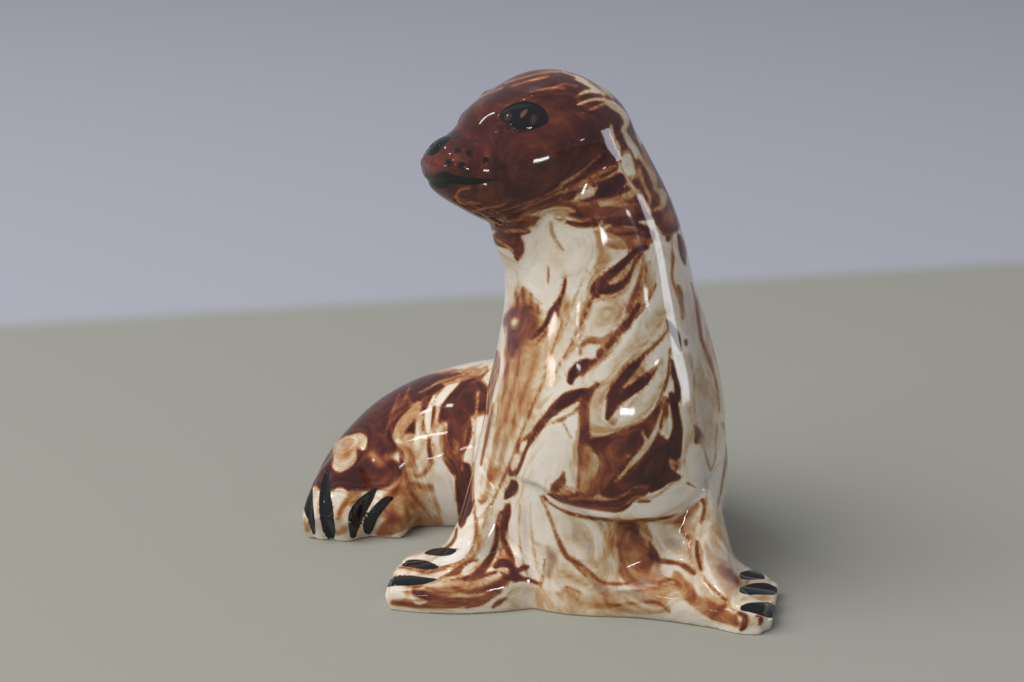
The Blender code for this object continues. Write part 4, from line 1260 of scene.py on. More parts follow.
REAR = (
    swirl(DARK, "335,460,22 360,435,34 395,415,32 430,400,26 460,395,24 480,400,14", 3),
    swirl(DARK, "322,478,12 345,478,14 370,474,16 388,470,12", 2),
    swirl(IVORY, "310,510,16 340,515,20 370,515,18 400,505,20 430,510,22 425,470,20", 2),
    swirl(SAND, "341,447,8 350,443,8 360,440,7 363,446,4"),
    swirl(SAND, "341,448,8 345,456,12 339,466,7"),
    swirl(TAN, "346,447,3 347,454,3.6", 1.8),
    swirl(SAND, "436,394,0.8 452,384,1.4 470,376,1.4 488,366,0.8"),
    swirl(TAN, "420,392,0.6 438,383,1 458,376,1.2 478,369,0.8"),
    swirl(RUSSET, "408,398,2 414,410,3 410,422,2"),
    swirl(AMBER, "410,386,0.8 404,400,1.2 396,416,1.2 392,430,0.8"),
    swirl(RUST, "399,394,0.8 394,408,1.4 389,422,1.5 385,436,1"),
    swirl(BROWN, "400,400,3 397,420,4 393,440,3"),
    swirl(AMBER, "372,455,4 380,462,5 388,456,3", 2.4),
    # Painted shade: a brown patch in the hollow under the rump, between the hind flippers and the right arm
    swirl(BROWN, "372,482,8 386,480,8 398,470,4", 2),
    swirl(BROWN, "399,440,2 402,452,3 402,468,3 398,482,3"),
    # Tan fork
    swirl(TAN, "419,403,2.6 411,414,5 403,425,6 397,437,4.4 401,444,3"),
    swirl(SAND, "423,400,1.2 420,413,2.4 419,427,4 421,442,5 421,457,4.6"),
    swirl(TAN, "410,440,8 413,458,9 409,478,7 416,498,11 427,512,14 434,526,12 442,537,6", 1.4),
    swirl(CREAM, "397,440,1 402,445,2 408,447,1.4"),
    swirl(TAN, "402,484,8 416,500,16 430,520,16 438,536,8", 3, strength=0.8),
    swirl(AMBER, "404,470,0.8 410,490,1.2 422,506,1.4 434,522,1.2 440,536,0.8"),
    swirl(SAND, "410,466,1 416,484,1.8 428,500,2 436,514,1.4"),
    swirl(CREAM, "418,424,1.4 417,438,2.2 416,448,1.4"),
    swirl(AMBER, "400,446,2.4 410,452,3.2 412,463,3 405,466,2", 1.4),
    swirl(IVORY, "418,462,2 423,458,3 426,450,2"),
    swirl(AMBER, "428,440,1 431,454,1.8 429,467,2.2 420,476,2 412,474,1.2"),
    swirl(AMBER, "411,483,2 424,487,3.2 434,488,2.8 441,496,1.4", 1.4),
    swirl(CREAM, "404,503,1.4 408,509,2 413,513,1", 1.4),
    swirl(RUSSET, "425,396,3.4 425,408,3.6 426,420,2.4 424,430,1.2"),
    swirl(WHITE, "458,383,1.6 448,390,4 441,398,4.4 438,404,3"),
    swirl(WHITE, "434,396,1.4 430,408,3.2 428,420,3.4 428,432,1.8"),
    swirl(SAND, "438,408,2.4 436,420,2.6 434,434,2.2"),
    swirl(BROWN, "430,436,1.6 429,450,1.6 433,462,1.6"),
    swirl(SAND, "434,444,1.6 435,452,2.4 434,460,1.4"),
    swirl(TAN, "444,384,1.4 460,380,2.2 475,374,2 486,367,1"),
    swirl(TAN, "452,373,0.6 466,370,1.2 482,364,0.8"),
    swirl(RUST, "470,384,1 480,378,1.6 488,370,1"),
    # Dark wedge in front of the tan flank
    swirl(BROWN, "456,405,9 460,425,12 457,442,12 452,456,9 457,468,8"),
    swirl(DARK, "464,470,8 465,484,9 465,498,9 465,510,7 462,521,4 461,527,1.2"),
    swirl(AMBER, "454,440,1.6 457,446,3 456,452,1.6", 1.4),
    swirl(RUST, "445,428,2 444,444,3 447,458,3", 2),
    swirl(TAN, "478,392,1 476,415,1.5 474,440,1.6 473,470,1.6 473,500,1.2"),
    swirl(AMBER, "466,430,0.6 464,450,0.9 462,470,0.8"),
    swirl(WHITE, "438,463,1.4 440,475,6 443,490,8 447,505,7.4 450,520,7 452,531,5 449,538,2.6"),
    # Tail and hind toes
    swirl(IVORY, "340,494,7 341,504,7 336,514,4"),
    swirl(RUST, "357,490,1.2 348,500,2.6 341,510,3 338,518,2", 1.4),
    swirl(OCHRE, "330,528,2 338,533,3 346,528,3", 1.6),
    swirl(AMBER, "352,494,3 360,496,3 352,504,3", 2),
    swirl(AMBER, "388,512,8 398,506,8 400,520,10 388,528,8 378,533,4", 1.6),
    swirl(TAN, "396,498,5 402,510,4", 2),
    swirl(RUST, "384,500,2 392,494,4 398,488,3", 2),
    swirl(SAND, "316,488,1.4 316,502,2 318,514,1.4"),
    swirl(TAN, "304,520,3 308,530,3"),
)

# Grey-violet clouds in the cream slip, and painted shade in the same grey: on the skirt under the chest's
# overhang, in the crease beside the right arm and down the flank away from the light
CLOUDS_AND_SHADE = (
    Stroke(0.5, "573,522,2 576,532,3 574,540,1.5", 2.0),
    Stroke(0.5, "586,538,1.6 589,548,3 588,556,1.5", 2.0),
    Stroke(0.7, "670,540,2.4 676,544,3.6 680,541,2", 2.0),
    Stroke(0.6, "656,570,1.6 660,573,2.6", 1.6),
    Stroke(0.5, "640,582,2 650,581,2 634,590,1.6", 2.0),
    Stroke(0.4, "524,510,2 525,535,3 524,560,3", 2.4),
    Stroke(0.5, "545,552,3 553,552,4 550,564,4 547,575,3", 2.4),
    Stroke(0.35, "684,300,8 692,340,8 700,390,9 706,440,9 704,480,8", 4.0),
    Stroke(0.35, "712,550,8 724,575,9 735,595,6", 3.0),
    Stroke(0.4, "596,587,3 620,592,3 646,597,3", 2.0),
)

# Claws, each one stroke of a loaded brush
CLAWS = (
    Stroke(1.0, "426,553,1.4 433,552.2,3.4 441,552,4.2 449,551.5,3.8 455,550.5,1.6", 0.7),
    Stroke(0.5, "452,549.5,1.6 457,549,2.4 461,549,1", 1.4),
    Stroke(1.0, "403,565,1.2 409,563.5,3.6 417,564,4.6 425,565,4.6 433,566.5,3 438,567,1", 0.7),
    Stroke(1.0, "388.5,584,3 395,581,5 405,580.4,5.4 416,580.6,4.6 426,580.4,3.2 436,579.4,0.8", 0.7),
    Stroke(1.0, "743,575.5,3.8 750,575,5 757,575,4.6 763,577.5,2", 0.7),
    Stroke(1.0, "743,590,3.6 750,589.5,5.4 758,588.7,6 766,589,6 773,590.5,4.6", 0.7),
    Stroke(1.0, "743,608,3 750,607.5,4.8 760,608.5,6.4 768,610,7.4 775,613.5,4.4", 0.7),
    Stroke(1.0, "312,481,1.4 309,490,4 308,500,5 309,510,4.8 311.5,520,3.6 314,533,1.6", 0.7),
    Stroke(1.0, "327,472,1.6 326,483,4.6 325,495,5.8 326,507,7 327,518,7 329,529,6.4 331,537,3.6", 0.7),
    Stroke(1.0, "376,489,1.4 369,497,5 361,507,7.4 356,516,7.6 354,526,5.4 353,535,3.4", 0.7),
    Stroke(1.0, "391,498.5,2.4 386,501,4.2 379,508,5.2 373,516,5.6 369,524,6 368,530,4.4", 0.7),
)


# Nose, mouth and eye, as on the left half of the face
FACE_INK = (
    Stroke(1.0, "452,130,4.5 445,136.5,5.5 438,144,6 432.5,151,4.5", 0.7),
    Stroke(1.0, "428,178.5,1 432,180.5,3 437,181.5,6 441.5,180.5,8 446,178.5,7", 0.8),
    Stroke(1.0, "446,178.5,7 452,179,4.6 460,180.5,4 470,181.2,3.8 480,181,3", 0.9),
    Stroke(0.8, "478,181,3 487,180.5,2.2 499,178.8,0.9", 1.1),
    Stroke(1.0, "499.5,117,0.3 505,116,5 512,115.5,10 520,115.5,13.5", 0.8),
    Stroke(1.0, "520,115.5,13.5 527,115.5,14.4 535,116.5,12 541,118.7,7.5 546.5,121.7,1", 0.8),
)
# Brown of the iris at both sides of the pupil, then a painted highlight: a glint on the eye, laid in the
# same brown
IRIS_AND_GLINT = (
    Stroke(0.4, "507,118,3 509,116,3.4", 1.6),
    Stroke(0.45, "533,122,3 534,118,3.4", 1.6),
    # Painted highlight: the glint on the eye
    Stroke(1.0, "521.5,116.5,1.2 523.5,113.5,2 526,110.5,1.2", 0.6),
)


@dataclass
class Marbling:
    """The slips and the black brushwork, as attributes of the casting's points."""

    seal: bpy.types.Object
    head: Head
    view: FrontView
    wobble: tuple[float, float] = (0.3, 4.0)  # how far a swirl's edge wavers, and over what length
    finest: float = 0.8  # longest edge that stays whole where slips meet
    near_hit: float = 1.5 * MM  # how far a point in sight is from where its ray meets the skin
    # Rounds of blurring at the outline: for what is divided, and for the ragged end of what is drawn
    outline: tuple[int, int] = (12, 90)
    # How a stroke is laid: its thinnest half-width and half the step across it, in pixels, and the most
    # that a slanting skin widens it
    laying: tuple[float, float, float] = (0.3, 1.5, 2.2)
    # How far past its middle line a stroke still reaches: half-widths and millimetres, and how it fades
    reach: tuple[float, float, float] = (1.6, 6.0, 3.0)
    # Folded bands of the sides out of sight: the lengths and heights of their two bends, and a band's size
    # along x, y and z
    bends: tuple[tuple[float, float], ...] = ((42.0, 20.0), (13.0, 4.0))
    band: tuple[float, float, float] = (11.0, 11.0, 46.0)
    # Their iron: its mean, and what the bands, the streaks and the broad clouds add, then the contrast
    iron: tuple[float, float, float, float] = (0.42, 0.9, 0.34, 0.3)
    contrast: tuple[float, float] = (0.44, 1.7)
    # Brown slip of the head: its end at the back, its lower edge under the face and how high that edge
    # climbs, and where the climb starts and how long it is, all from the head's middle
    brown_back: float = -16.0
    brown_edge: tuple[float, float] = (-21.5, 16.0)
    brown_climb: tuple[float, float] = (5.0, 12.0)
    face: tuple[float, float] = (9.0, -19.0)  # how far forward and how low the face begins

    def __post_init__(self) -> None:
        """Reads the casting's skin."""
        self.read()

    def read(self) -> None:
        """Reads the casting's skin, and where its points stand in the front view and on the head."""
        self.skin = Relief(self.seal.data)
        self.points = self.skin.points / MM
        self.pixels = self.view.project(self.skin.points)
        count = len(self.seal.data.edges)
        self.edges = np.empty((count, 2), np.int64)
        self.seal.data.edges.foreach_get("vertices", self.edges.ravel())
        height, length = self.wobble
        self.waver = height * self.waves(length, 0)
        seen = self.seen()
        self.sight = self.blur(seen, self.outline[0])
        # 1 where the front view shows the skin, and a ragged fall to 0 beyond its outline
        ends = np.clip(2 * self.blur(seen, self.outline[1]), 0, 1)
        ends += 4 * self.waves(9, 10) * ends * (1 - ends)
        self.shown = np.clip(np.maximum(ends, self.blur(seen, 2) > 0.3), 0, 1)
        place = np.array(self.head.place)
        turn, middle = place[:3, :3], place[:3, 3]
        self.on_head = (self.skin.points - middle) @ turn / MM
        folded = self.on_head * MM
        folded[:, 1] = np.abs(folded[:, 1])
        self.face_pixels = self.view.project(folded @ turn.T + middle)

    def waves(self, length: float, seed: int) -> np.ndarray:
        """Smooth noise on each point.

        Args:
            length: its scale in millimetres.
            seed: moves the noise, so that two aren't alike.

        Returns:
            About -1 to 1 for each point.
        """
        shift = Vector((17.3, 5.1, 9.7)) * seed
        return np.array([noise.noise(Vector(point) + shift) for point in self.points / length])

    def blur(self, values: np.ndarray, rounds: int) -> np.ndarray:
        """Spreads each point's value over its neighbours.

        Args:
            values: a value for each point.
            rounds: how many times it spreads by one point.

        Returns:
            The softer values.
        """
        a, b = self.edges.T
        size = len(values)
        links = np.maximum(np.bincount(a, minlength=size) + np.bincount(b, minlength=size), 1)
        for _ in range(rounds):
            near = np.bincount(a, values[b], size) + np.bincount(b, values[a], size)
            values = (values + near / links) / 2
        return values

    def seen(self) -> np.ndarray:
        """How far each point is in sight from the front view: 1, or 0 where the casting hides it."""
        eye = self.view.eye
        seen = np.zeros(len(self.points))
        towards = np.array(eye) - self.skin.points
        facing = (towards * self.skin.normals).sum(axis=1) > 0
        for i in np.flatnonzero(facing):
            point = Vector(self.skin.points[i])
            aim = point - eye
            place, _ = self.skin.hit(eye, aim)
            seen[i] = bool(place) and (place - point).length < self.near_hit
        return seen

    def lay(self, rows: np.ndarray) -> tuple[np.ndarray, np.ndarray]:
        """Lays a stroke on the casting.

        Args:
            rows: its pixels and half-widths in the front view.

        Returns:
            Its points and half-widths in millimetres.
        """
        eye = self.view.eye
        thinnest, aside, most_slant = self.laying
        points, widths = [], []
        for i, (x, y, width) in enumerate(rows):
            place, _ = self.skin.hit(eye, self.view.ray(x, y))
            if place is None:
                continue
            along = rows[min(i + 1, len(rows) - 1)] - rows[max(i - 1, 0)]
            length = max(math.hypot(along[0], along[1]), 1e-6)
            across = (-along[1] / length * aside, along[0] / length * aside)
            left, _ = self.skin.hit(eye, self.view.ray(x + across[0], y + across[1]))
            right, _ = self.skin.hit(eye, self.view.ray(x - across[0], y - across[1]))
            slant = 1.0
            if left and right:
                slant = min(max((left - right).length / (2 * aside * self.view.pixel), 1.0), most_slant)
            points.append(np.array(place) / MM)
            widths.append(max(width, thinnest) * self.view.pixel / MM * slant)
        return np.array(points), np.array(widths)

    @staticmethod
    def depth(spots: np.ndarray, points: np.ndarray, widths: np.ndarray) -> tuple[np.ndarray, np.ndarray]:
        """Measures from spots to a stroke.

        Args:
            spots: where to measure from.
            points: the stroke's points.
            widths: its half-widths there.

        Returns:
            How far each spot is from the stroke's middle line, and from its edge, below 0 inside it.
        """
        nearest = np.full(len(spots), np.inf)
        depth = np.full(len(spots), np.inf)
        last = len(points) - 1
        for i in range(max(last, 1)):
            a, b = points[i], points[min(i + 1, last)]
            step = b - a
            t = np.clip((spots - a) @ step / max(step @ step, 1e-9), 0, 1)
            width = widths[i] + (widths[min(i + 1, last)] - widths[i]) * t
            away = np.sqrt(((spots - (a + t[:, None] * step)) ** 2).sum(axis=1))
            nearest = np.minimum(nearest, away)
            depth = np.minimum(depth, away - width)
        return nearest, depth

    def cover(self, rows: np.ndarray, soft: float, rough: float) -> tuple[np.ndarray, np.ndarray]:
        """Finds what a stroke covers: as drawn where the front view shows it, and as wide beyond that.

        Args:
            rows: the stroke's pixels and half-widths in the front view.
            soft: the width of its edge in millimetres.
            rough: how much its edge wavers, 0 to 1.

        Returns:
            The casting's points near it, and how far it covers each of them, 0 to 1.
        """
        points, widths = self.lay(rows)
        if len(points) < 2:
            return np.zeros(0, int), np.zeros(0)
        by_width, further, fade = self.reach
        reach = by_width * widths.max() + soft + further
        low, high = points.min(axis=0) - reach, points.max(axis=0) + reach
        near = np.flatnonzero(((self.points > low) & (self.points < high)).all(axis=1))
        away, depth = self.depth(self.points[near], points, widths)
        _, drawn = self.depth(self.pixels[near], rows[:, :2], np.maximum(rows[:, 2], 0.4))
        in_view = self.shown[near] * np.clip((reach - away) / fade, 0, 1)
        depth += (drawn * self.view.pixel / MM - depth) * in_view
        edge = np.clip(0.5 - (depth + self.waver[near] * rough * min(1.0, widths.mean())) / soft, 0, 1)
        return near, edge * edge * (3 - 2 * edge)

    def paint(self, values: np.ndarray, strokes: tuple[Stroke, ...], most: bool = False) -> None:
        """Lays strokes over values, one after another.

        Args:
            values: a value for each point, changed in place.
            strokes: the strokes, each with the value that it leaves.
            most: whether a stroke only adds to what is there, as brushwork with clean edges does.
        """
        for stroke in strokes:
            near, cover = self.cover(stroke.rows, stroke.soft, 0.0 if most else 1.0)
            if most:
                values[near] = np.maximum(values[near], cover * stroke.slip)
            else:
                values[near] += (stroke.slip - values[near]) * cover * stroke.strength

    def paint_face(self, strokes: tuple[Stroke, ...]) -> np.ndarray:
        """Paints both halves of the face alike.

        Args:
            strokes: the strokes on its left half, in pixels of the front view.

        Returns:
            How far they cover each point.
        """
        ahead, _, up = self.on_head.T
        near = np.flatnonzero((ahead > self.face[0]) & (up > self.face[1]))
        values = np.zeros(len(self.points))
        for stroke in strokes:
            rows = stroke.rows
            _, depth = self.depth(self.face_pixels[near], rows[:, :2], rows[:, 2])
            edge = np.clip(0.5 - depth * self.view.pixel / MM / stroke.soft, 0, 1)
            values[near] = np.maximum(values[near], edge * edge * (3 - 2 * edge) * stroke.slip)
        return values

    def unseen(self) -> np.ndarray:
        """Swirls for the sides that the front view doesn't show."""
        warp = np.zeros_like(self.points)
        for number, (length, height) in enumerate(self.bends):
            seeds = range(3 * number + 1, 3 * number + 4)
            warp += np.stack([self.waves(length, seed) for seed in seeds], axis=1) * height
        stretched = (self.points + warp) / np.array(self.band)
        folds = np.array([noise.noise(Vector(point)) for point in stretched])
        streaks = np.array([noise.noise(Vector(point)) for point in stretched * 2.7 + 40])
        mean, by_band, by_streak, by_cloud = self.iron
        iron = mean + by_band * folds + by_streak * streaks + by_cloud * self.waves(38, 7)
        middle, gain = self.contrast
        return np.clip((iron - middle) * gain + middle, 0.08, 0.86)

    def head_mass(self) -> np.ndarray:
        """How far the brown slip of the head covers each point."""
        ahead, _, up = self.on_head.T
        start, length = self.brown_climb
        rise = np.clip((start - ahead) / length, 0, 1)
        low, climb = self.brown_edge
        underside = low + climb * rise * rise * (3 - 2 * rise)
        depth = np.maximum(self.brown_back - ahead, underside - up) + 3 * self.waves(9, 9)
        return np.clip(0.5 - depth / 2, 0, 1)

    def layers(self) -> dict[str, np.ndarray]:
        """Works out the marbling and the brushwork, with the painted shade of the clouds and the painted
        glint on the eye.

        Returns:
            The name and the values of each attribute.
        """
        slip = self.unseen()
        slip += (CREAM.value - slip) * self.shown
        slip += (DARK.value - slip) * self.head_mass()
        for strokes in (REAR, NECK, FACE, CHEST, RIGHT_EDGE, SKIRT, RIGHT_FLIPPER):
            self.paint(slip, strokes)
        clouds_and_shade, claws = np.zeros(len(slip)), np.zeros(len(slip))
        self.paint(clouds_and_shade, CLOUDS_AND_SHADE, most=True)
        self.paint(claws, CLAWS, most=True)
        return {
            "slip": slip,
            "cloud_and_shade": clouds_and_shade,
            "ink": np.maximum(claws, self.paint_face(FACE_INK)),
            "iris_and_glint": self.paint_face(IRIS_AND_GLINT),
        }

    def divide(self, layers: dict[str, np.ndarray]) -> None:
        """Divides the faces along the edges of the swirls and the strokes, so that these come out crisp."""
        a, b = self.edges.T
        jumps = {"slip": 0.12, "ink": 0.2, "iris_and_glint": 0.2}
        steps = [np.abs(layers[name][a] - layers[name][b]) / jump for name, jump in jumps.items()]
        step = np.max(steps, axis=0)
        length = np.linalg.norm(self.points[a] - self.points[b], axis=1)
        chosen = np.flatnonzero((step > 1) & (length > self.finest) & (self.sight[a] > 0.1))
        bm = bmesh.new()
        bm.from_mesh(self.seal.data)
        bm.edges.ensure_lookup_table()
        edges = [bm.edges[i] for i in chosen]
        bmesh.ops.subdivide_edges(bm, edges=edges, cuts=1)
        bm.to_mesh(self.seal.data)
        bm.free()
        self.seal.data.shade_smooth()

    def dress(self) -> None:
        """Stores the marbling and the brushwork as attributes of the mesh."""
        self.divide(self.layers())
        self.read()
        layers = self.layers()
        layers["fold"] = self.blur(layers["slip"], 40) + self.waves(24, 8) * 0.3
        layers["bare"] = np.where(self.points[:, 2] < 0.05, 1.0, 0.0)
        for name, values in layers.items():
            attribute = self.seal.data.attributes.new(name, "FLOAT", "POINT")
            attribute.data.foreach_set("value", values.astype(np.float32))


def add_node(
    tree: bpy.types.NodeTree, kind: str, links: dict | None = None, **settings: object
) -> bpy.types.Node:
    """Adds a node.

    Args:
        tree: the tree that it goes into.
        kind: its type.
        links: each input's name or number, with the value or the socket that feeds it.
        settings: its own settings.

    Returns:
        The node.
    """
    node = tree.nodes.new(kind)
    for key, value in settings.items():
        setattr(node, key, value)
    for key, value in (links or {}).items():
        if isinstance(value, bpy.types.NodeSocket):
            tree.links.new(value, node.inputs[key])
        else:
            node.inputs[key].default_value = value
    return node


@dataclass(frozen=True)
class MarbledGlaze:
    """Marbled earthenware under clear lead-free gloss glaze: slips poured together, so that the pale and
    the iron-brown clay lie in folded bands with rusty edges, and a wet, wavy shine over all of them."""

    name: str = "marbled_earthenware_glaze"
    # How much iron a slip holds, and the colour that it fires to
    fired: tuple[tuple[float, str], ...] = (
        (0.00, "#F3EAE0"),
        (0.14, "#EBDDCB"),
        (0.24, "#DDC9AE"),
        (0.34, "#C9A67D"),
        (0.44, "#BA8655"),
        (0.54, "#9D5C38"),
        (0.64, "#82452F"),
        (0.74, "#643026"),
        (0.84, "#4D2522"),
        (1.00, "#3A1A1A"),
    )
    ink: str = "#16181B"
    # Brown of the iris, also the colour of the painted glint on the eye
    iris_and_glint: str = "#6F5334"
    # Grey of the clouds: partly grey-violet slip, partly painted shade
    cloud_and_shade: str = "#9E9594"
    bisque: str = "#D8C6AC"
    roughness: float = 0.07
    bare_roughness: float = 0.8
    ior: float = 1.52
    # Filaments drawn out along the swirls: they follow the places where the blurred slip is the same,
    # about 1 mm apart and 10 mm long. Their noise's scale, its pace across them and what they add
    filaments: tuple[float, float, float] = (95.0, 0.13, 0.16)
    # Fine waver of the swirls' edges, 1.5 mm: its scale and what it adds
    feather: tuple[float, float] = (650.0, 0.04)
    # Waves of the pooled glaze, 5 mm: their scale, strength and height in metres
    pool: tuple[float, float, float] = (210.0, 0.14, 0.12 * MM)

    def make(self) -> bpy.types.Material:
        """Builds the material."""
        material = bpy.data.materials.new(self.name)
        material.use_nodes = True
        tree = material.node_tree
        tree.nodes.clear()
        place = add_node(tree, "ShaderNodeTexCoord").outputs["Object"]
        given = {}
        for name in ("slip", "fold", "cloud_and_shade", "ink", "iris_and_glint", "bare"):
            given[name] = add_node(tree, "ShaderNodeAttribute", attribute_name=name).outputs["Fac"]
        scale, pace, most = self.filaments
        across = add_node(tree, "ShaderNodeMath", {0: given["fold"], 1: pace}, operation="MULTIPLY")
        filament = add_node(
            tree,
            "ShaderNodeTexNoise",
            {"Vector": place, "W": across.outputs[0], "Scale": scale, "Detail": 3.0, "Roughness": 0.62},
            noise_dimensions="4D",
        ).outputs["Fac"]
        filament = add_node(
            tree,
            "ShaderNodeMapRange",
            {"Value": filament, "From Min": 0.3, "From Max": 0.7, "To Min": -most, "To Max": most},
        ).outputs["Result"]
        scale, most = self.feather
        feather = add_node(
            tree, "ShaderNodeTexNoise", {"Vector": place, "Scale": scale, "Detail": 2.0, "Roughness": 0.5}
        ).outputs["Fac"]
        feather = add_node(
            tree, "ShaderNodeMapRange", {"Value": feather, "To Min": -most, "To Max": most}
        ).outputs["Result"]
        iron = add_node(tree, "ShaderNodeMath", {0: given["slip"], 1: filament}, operation="ADD").outputs[0]
        iron = add_node(tree, "ShaderNodeMath", {0: iron, 1: feather}, operation="ADD").outputs[0]
        ramp = add_node(tree, "ShaderNodeValToRGB", {"Fac": iron})
        stops = ramp.color_ramp.elements
        while len(stops) < len(self.fired):
            stops.new(0.5)
        for stop, (where, colour) in zip(stops, self.fired):
            stop.position = where
            stop.color = linear(colour)
        colour = ramp.outputs["Color"]
        brushed = {"ink": (0.3, 0.7), "iris_and_glint": (0.0, 1.0)}
        # The cloud tint is partly painted shade; the iris tint also lays a painted glint on the eye
        tints = {"cloud_and_shade": self.cloud_and_shade, "ink": self.ink, "iris_and_glint": self.iris_and_glint, "bare": self.bisque}
        for name, tint in tints.items():
            share = given[name]
            if name in brushed:
                low, high = brushed[name]
                share = add_node(
                    tree,
                    "ShaderNodeMapRange",
                    {"Value": share, "From Min": low, "From Max": high},
                    interpolation_type="SMOOTHSTEP",
                ).outputs["Result"]
            mix = add_node(tree, "ShaderNodeMix", {0: share, 6: colour, 7: linear(tint)}, data_type="RGBA")
            colour = mix.outputs[2]
        rough = add_node(
            tree,
            "ShaderNodeMapRange",
            {"Value": given["bare"], "To Min": self.roughness, "To Max": self.bare_roughness},
        ).outputs["Result"]
        scale, strength, height = self.pool
        pool = add_node(
            tree, "ShaderNodeTexNoise", {"Vector": place, "Scale": scale, "Detail": 2.0}
        ).outputs["Fac"]
        bump = add_node(
            tree, "ShaderNodeBump", {"Height": pool, "Strength": strength, "Distance": height}
        )
        shader = add_node(
            tree,
            "ShaderNodeBsdfPrincipled",
            {"Base Color": colour, "Roughness": rough, "Normal": bump.outputs[0], "IOR": self.ior},
        )
        add_node(tree, "ShaderNodeOutputMaterial", {"Surface": shader.outputs[0]})
        return material


@dataclass(frozen=True)
class BlackStain:
    """Black underglaze stain under the same clear glaze: a brush's dot, nearly black, with its shine."""

    name: str = "black_underglaze_stain"
    colour: str = "#191A1C"
    worn: str = "#2B2826"
    roughness: float = 0.08
    ior: float = 1.52
    grain: float = 900.0  # scale of the stain's unevenness, about 1 mm

    def make(self) -> bpy.types.Material:
        """Builds the material."""
        material = bpy.data.materials.new(self.name)
        material.use_nodes = True
        tree = material.node_tree
        tree.nodes.clear()
        place = add_node(tree, "ShaderNodeTexCoord").outputs["Object"]
        brush = add_node(
            tree, "ShaderNodeTexNoise", {"Vector": place, "Scale": self.grain, "Detail": 2.0}
        ).outputs["Fac"]
        colour = add_node(
            tree,
            "ShaderNodeMix",
            {0: brush, 6: linear(self.colour), 7: linear(self.worn)},
            data_type="RGBA",
        ).outputs[2]
        shader = add_node(
            tree,
            "ShaderNodeBsdfPrincipled",
            {"Base Color": colour, "Roughness": self.roughness, "IOR": self.ior},
        )
        add_node(tree, "ShaderNodeOutputMaterial", {"Surface": shader.outputs[0]})
        return material


@dataclass
class WhiskerDots:
    """The dots on both whisker pads, each the touch of a brush's tip."""

    # Where they are on the right pad: pixels of the front view
    spots: Rows = ((457, 150.5), (469, 152.6), (485.6, 160.3), (461.7, 165.2), (449, 162.4))
    radius: float = 1.05 * MM
    height: float = 0.14 * MM
    segments: int = 28

    def places(self, marbling: Marbling) -> tuple[list[Vector], list[Vector]]:
        """Finds the dots on the casting.

        Args:
            marbling: what knows the casting's skin and the front view.

        Returns:
            Their middles and the skin's normals there.
        """
        place = marbling.head.place
        middles, normals = [], []
        for x, y in self.spots:
            seen, _ = marbling.skin.hit(marbling.view.eye, marbling.view.ray(x, y))
            mirrored = place.inverted() @ seen
            mirrored.y = -mirrored.y
            for spot in (seen, place @ mirrored):
                middle, normal, _, _ = marbling.skin.tree.find_nearest(spot)
                middles.append(middle)
                normals.append(normal)
        return middles, normals

    def tree(self, material: bpy.types.Material) -> bpy.types.NodeTree:
        """The nodes that put a flat dome on each point, turned to the skin's normal."""
        tree = bpy.data.node_groups.new("brush_dots", "GeometryNodeTree")
        tree.interface.new_socket("Geometry", in_out="INPUT", socket_type="NodeSocketGeometry")
        for name in ("Dot radius", "Dot height"):
            tree.interface.new_socket(name, in_out="INPUT", socket_type="NodeSocketFloat")
        tree.interface.new_socket("Geometry", in_out="OUTPUT", socket_type="NodeSocketGeometry")
        given = add_node(tree, "NodeGroupInput")
        radius, height = given.outputs["Dot radius"], given.outputs["Dot height"]
        size = add_node(tree, "ShaderNodeCombineXYZ", {"X": radius, "Y": radius, "Z": height})
        ball = add_node(
            tree,
            "GeometryNodeMeshUVSphere",
            {"Segments": self.segments, "Rings": self.segments // 2, "Radius": 1.0},
        )
        outward = add_node(
            tree, "GeometryNodeInputNamedAttribute", {"Name": "outward"}, data_type="FLOAT_VECTOR"
        )
        turn = add_node(tree, "FunctionNodeAlignRotationToVector", {"Vector": outward.outputs[0]}, axis="Z")
        dots = add_node(
            tree,
            "GeometryNodeInstanceOnPoints",
            {
                "Points": given.outputs["Geometry"],
                "Instance": ball.outputs["Mesh"],
                "Rotation": turn.outputs[0],
                "Scale": size.outputs[0],
            },
        )
        real = add_node(tree, "GeometryNodeRealizeInstances", {"Geometry": dots.outputs[0]})
        smooth = add_node(tree, "GeometryNodeSetShadeSmooth", {"Geometry": real.outputs[0]})
        coated = add_node(
            tree, "GeometryNodeSetMaterial", {"Geometry": smooth.outputs[0], "Material": material}
        )
        add_node(tree, "NodeGroupOutput", {"Geometry": coated.outputs[0]})
        return tree

    def build(self, marbling: Marbling, material: bpy.types.Material) -> bpy.types.Object:
        """Puts the dots on the casting.

        Args:
            marbling: what knows the casting's skin and the front view.
            material: what the dots are painted with.

        Returns:
            The dots as one piece.
        """
        middles, normals = self.places(marbling)
        mesh = bpy.data.meshes.new("whisker_dots")
        mesh.from_pydata([tuple(middle) for middle in middles], [], [])
        outward = mesh.attributes.new("outward", "FLOAT_VECTOR", "POINT")
        outward.data.foreach_set("vector", np.array([tuple(normal) for normal in normals]).ravel())
        dots = bpy.data.objects.new("whisker_dots", mesh)
        bpy.context.scene.collection.objects.link(dots)
        modifier = dots.modifiers.new("Dots", "NODES")
        modifier.node_group = self.tree(material)
        sizes = {"Dot radius": self.radius, "Dot height": self.height}
        for item in modifier.node_group.interface.items_tree:
            if item.name in sizes:
                modifier[item.identifier] = sizes[item.name]
        bake(dots)
        return dots


class Purpose(Enum):
    """What a lamp is for."""

    LIGHT = "lights surfaces and isn't mirrored in the glaze"
    SHINE = "is mirrored in the glaze and lights nothing"


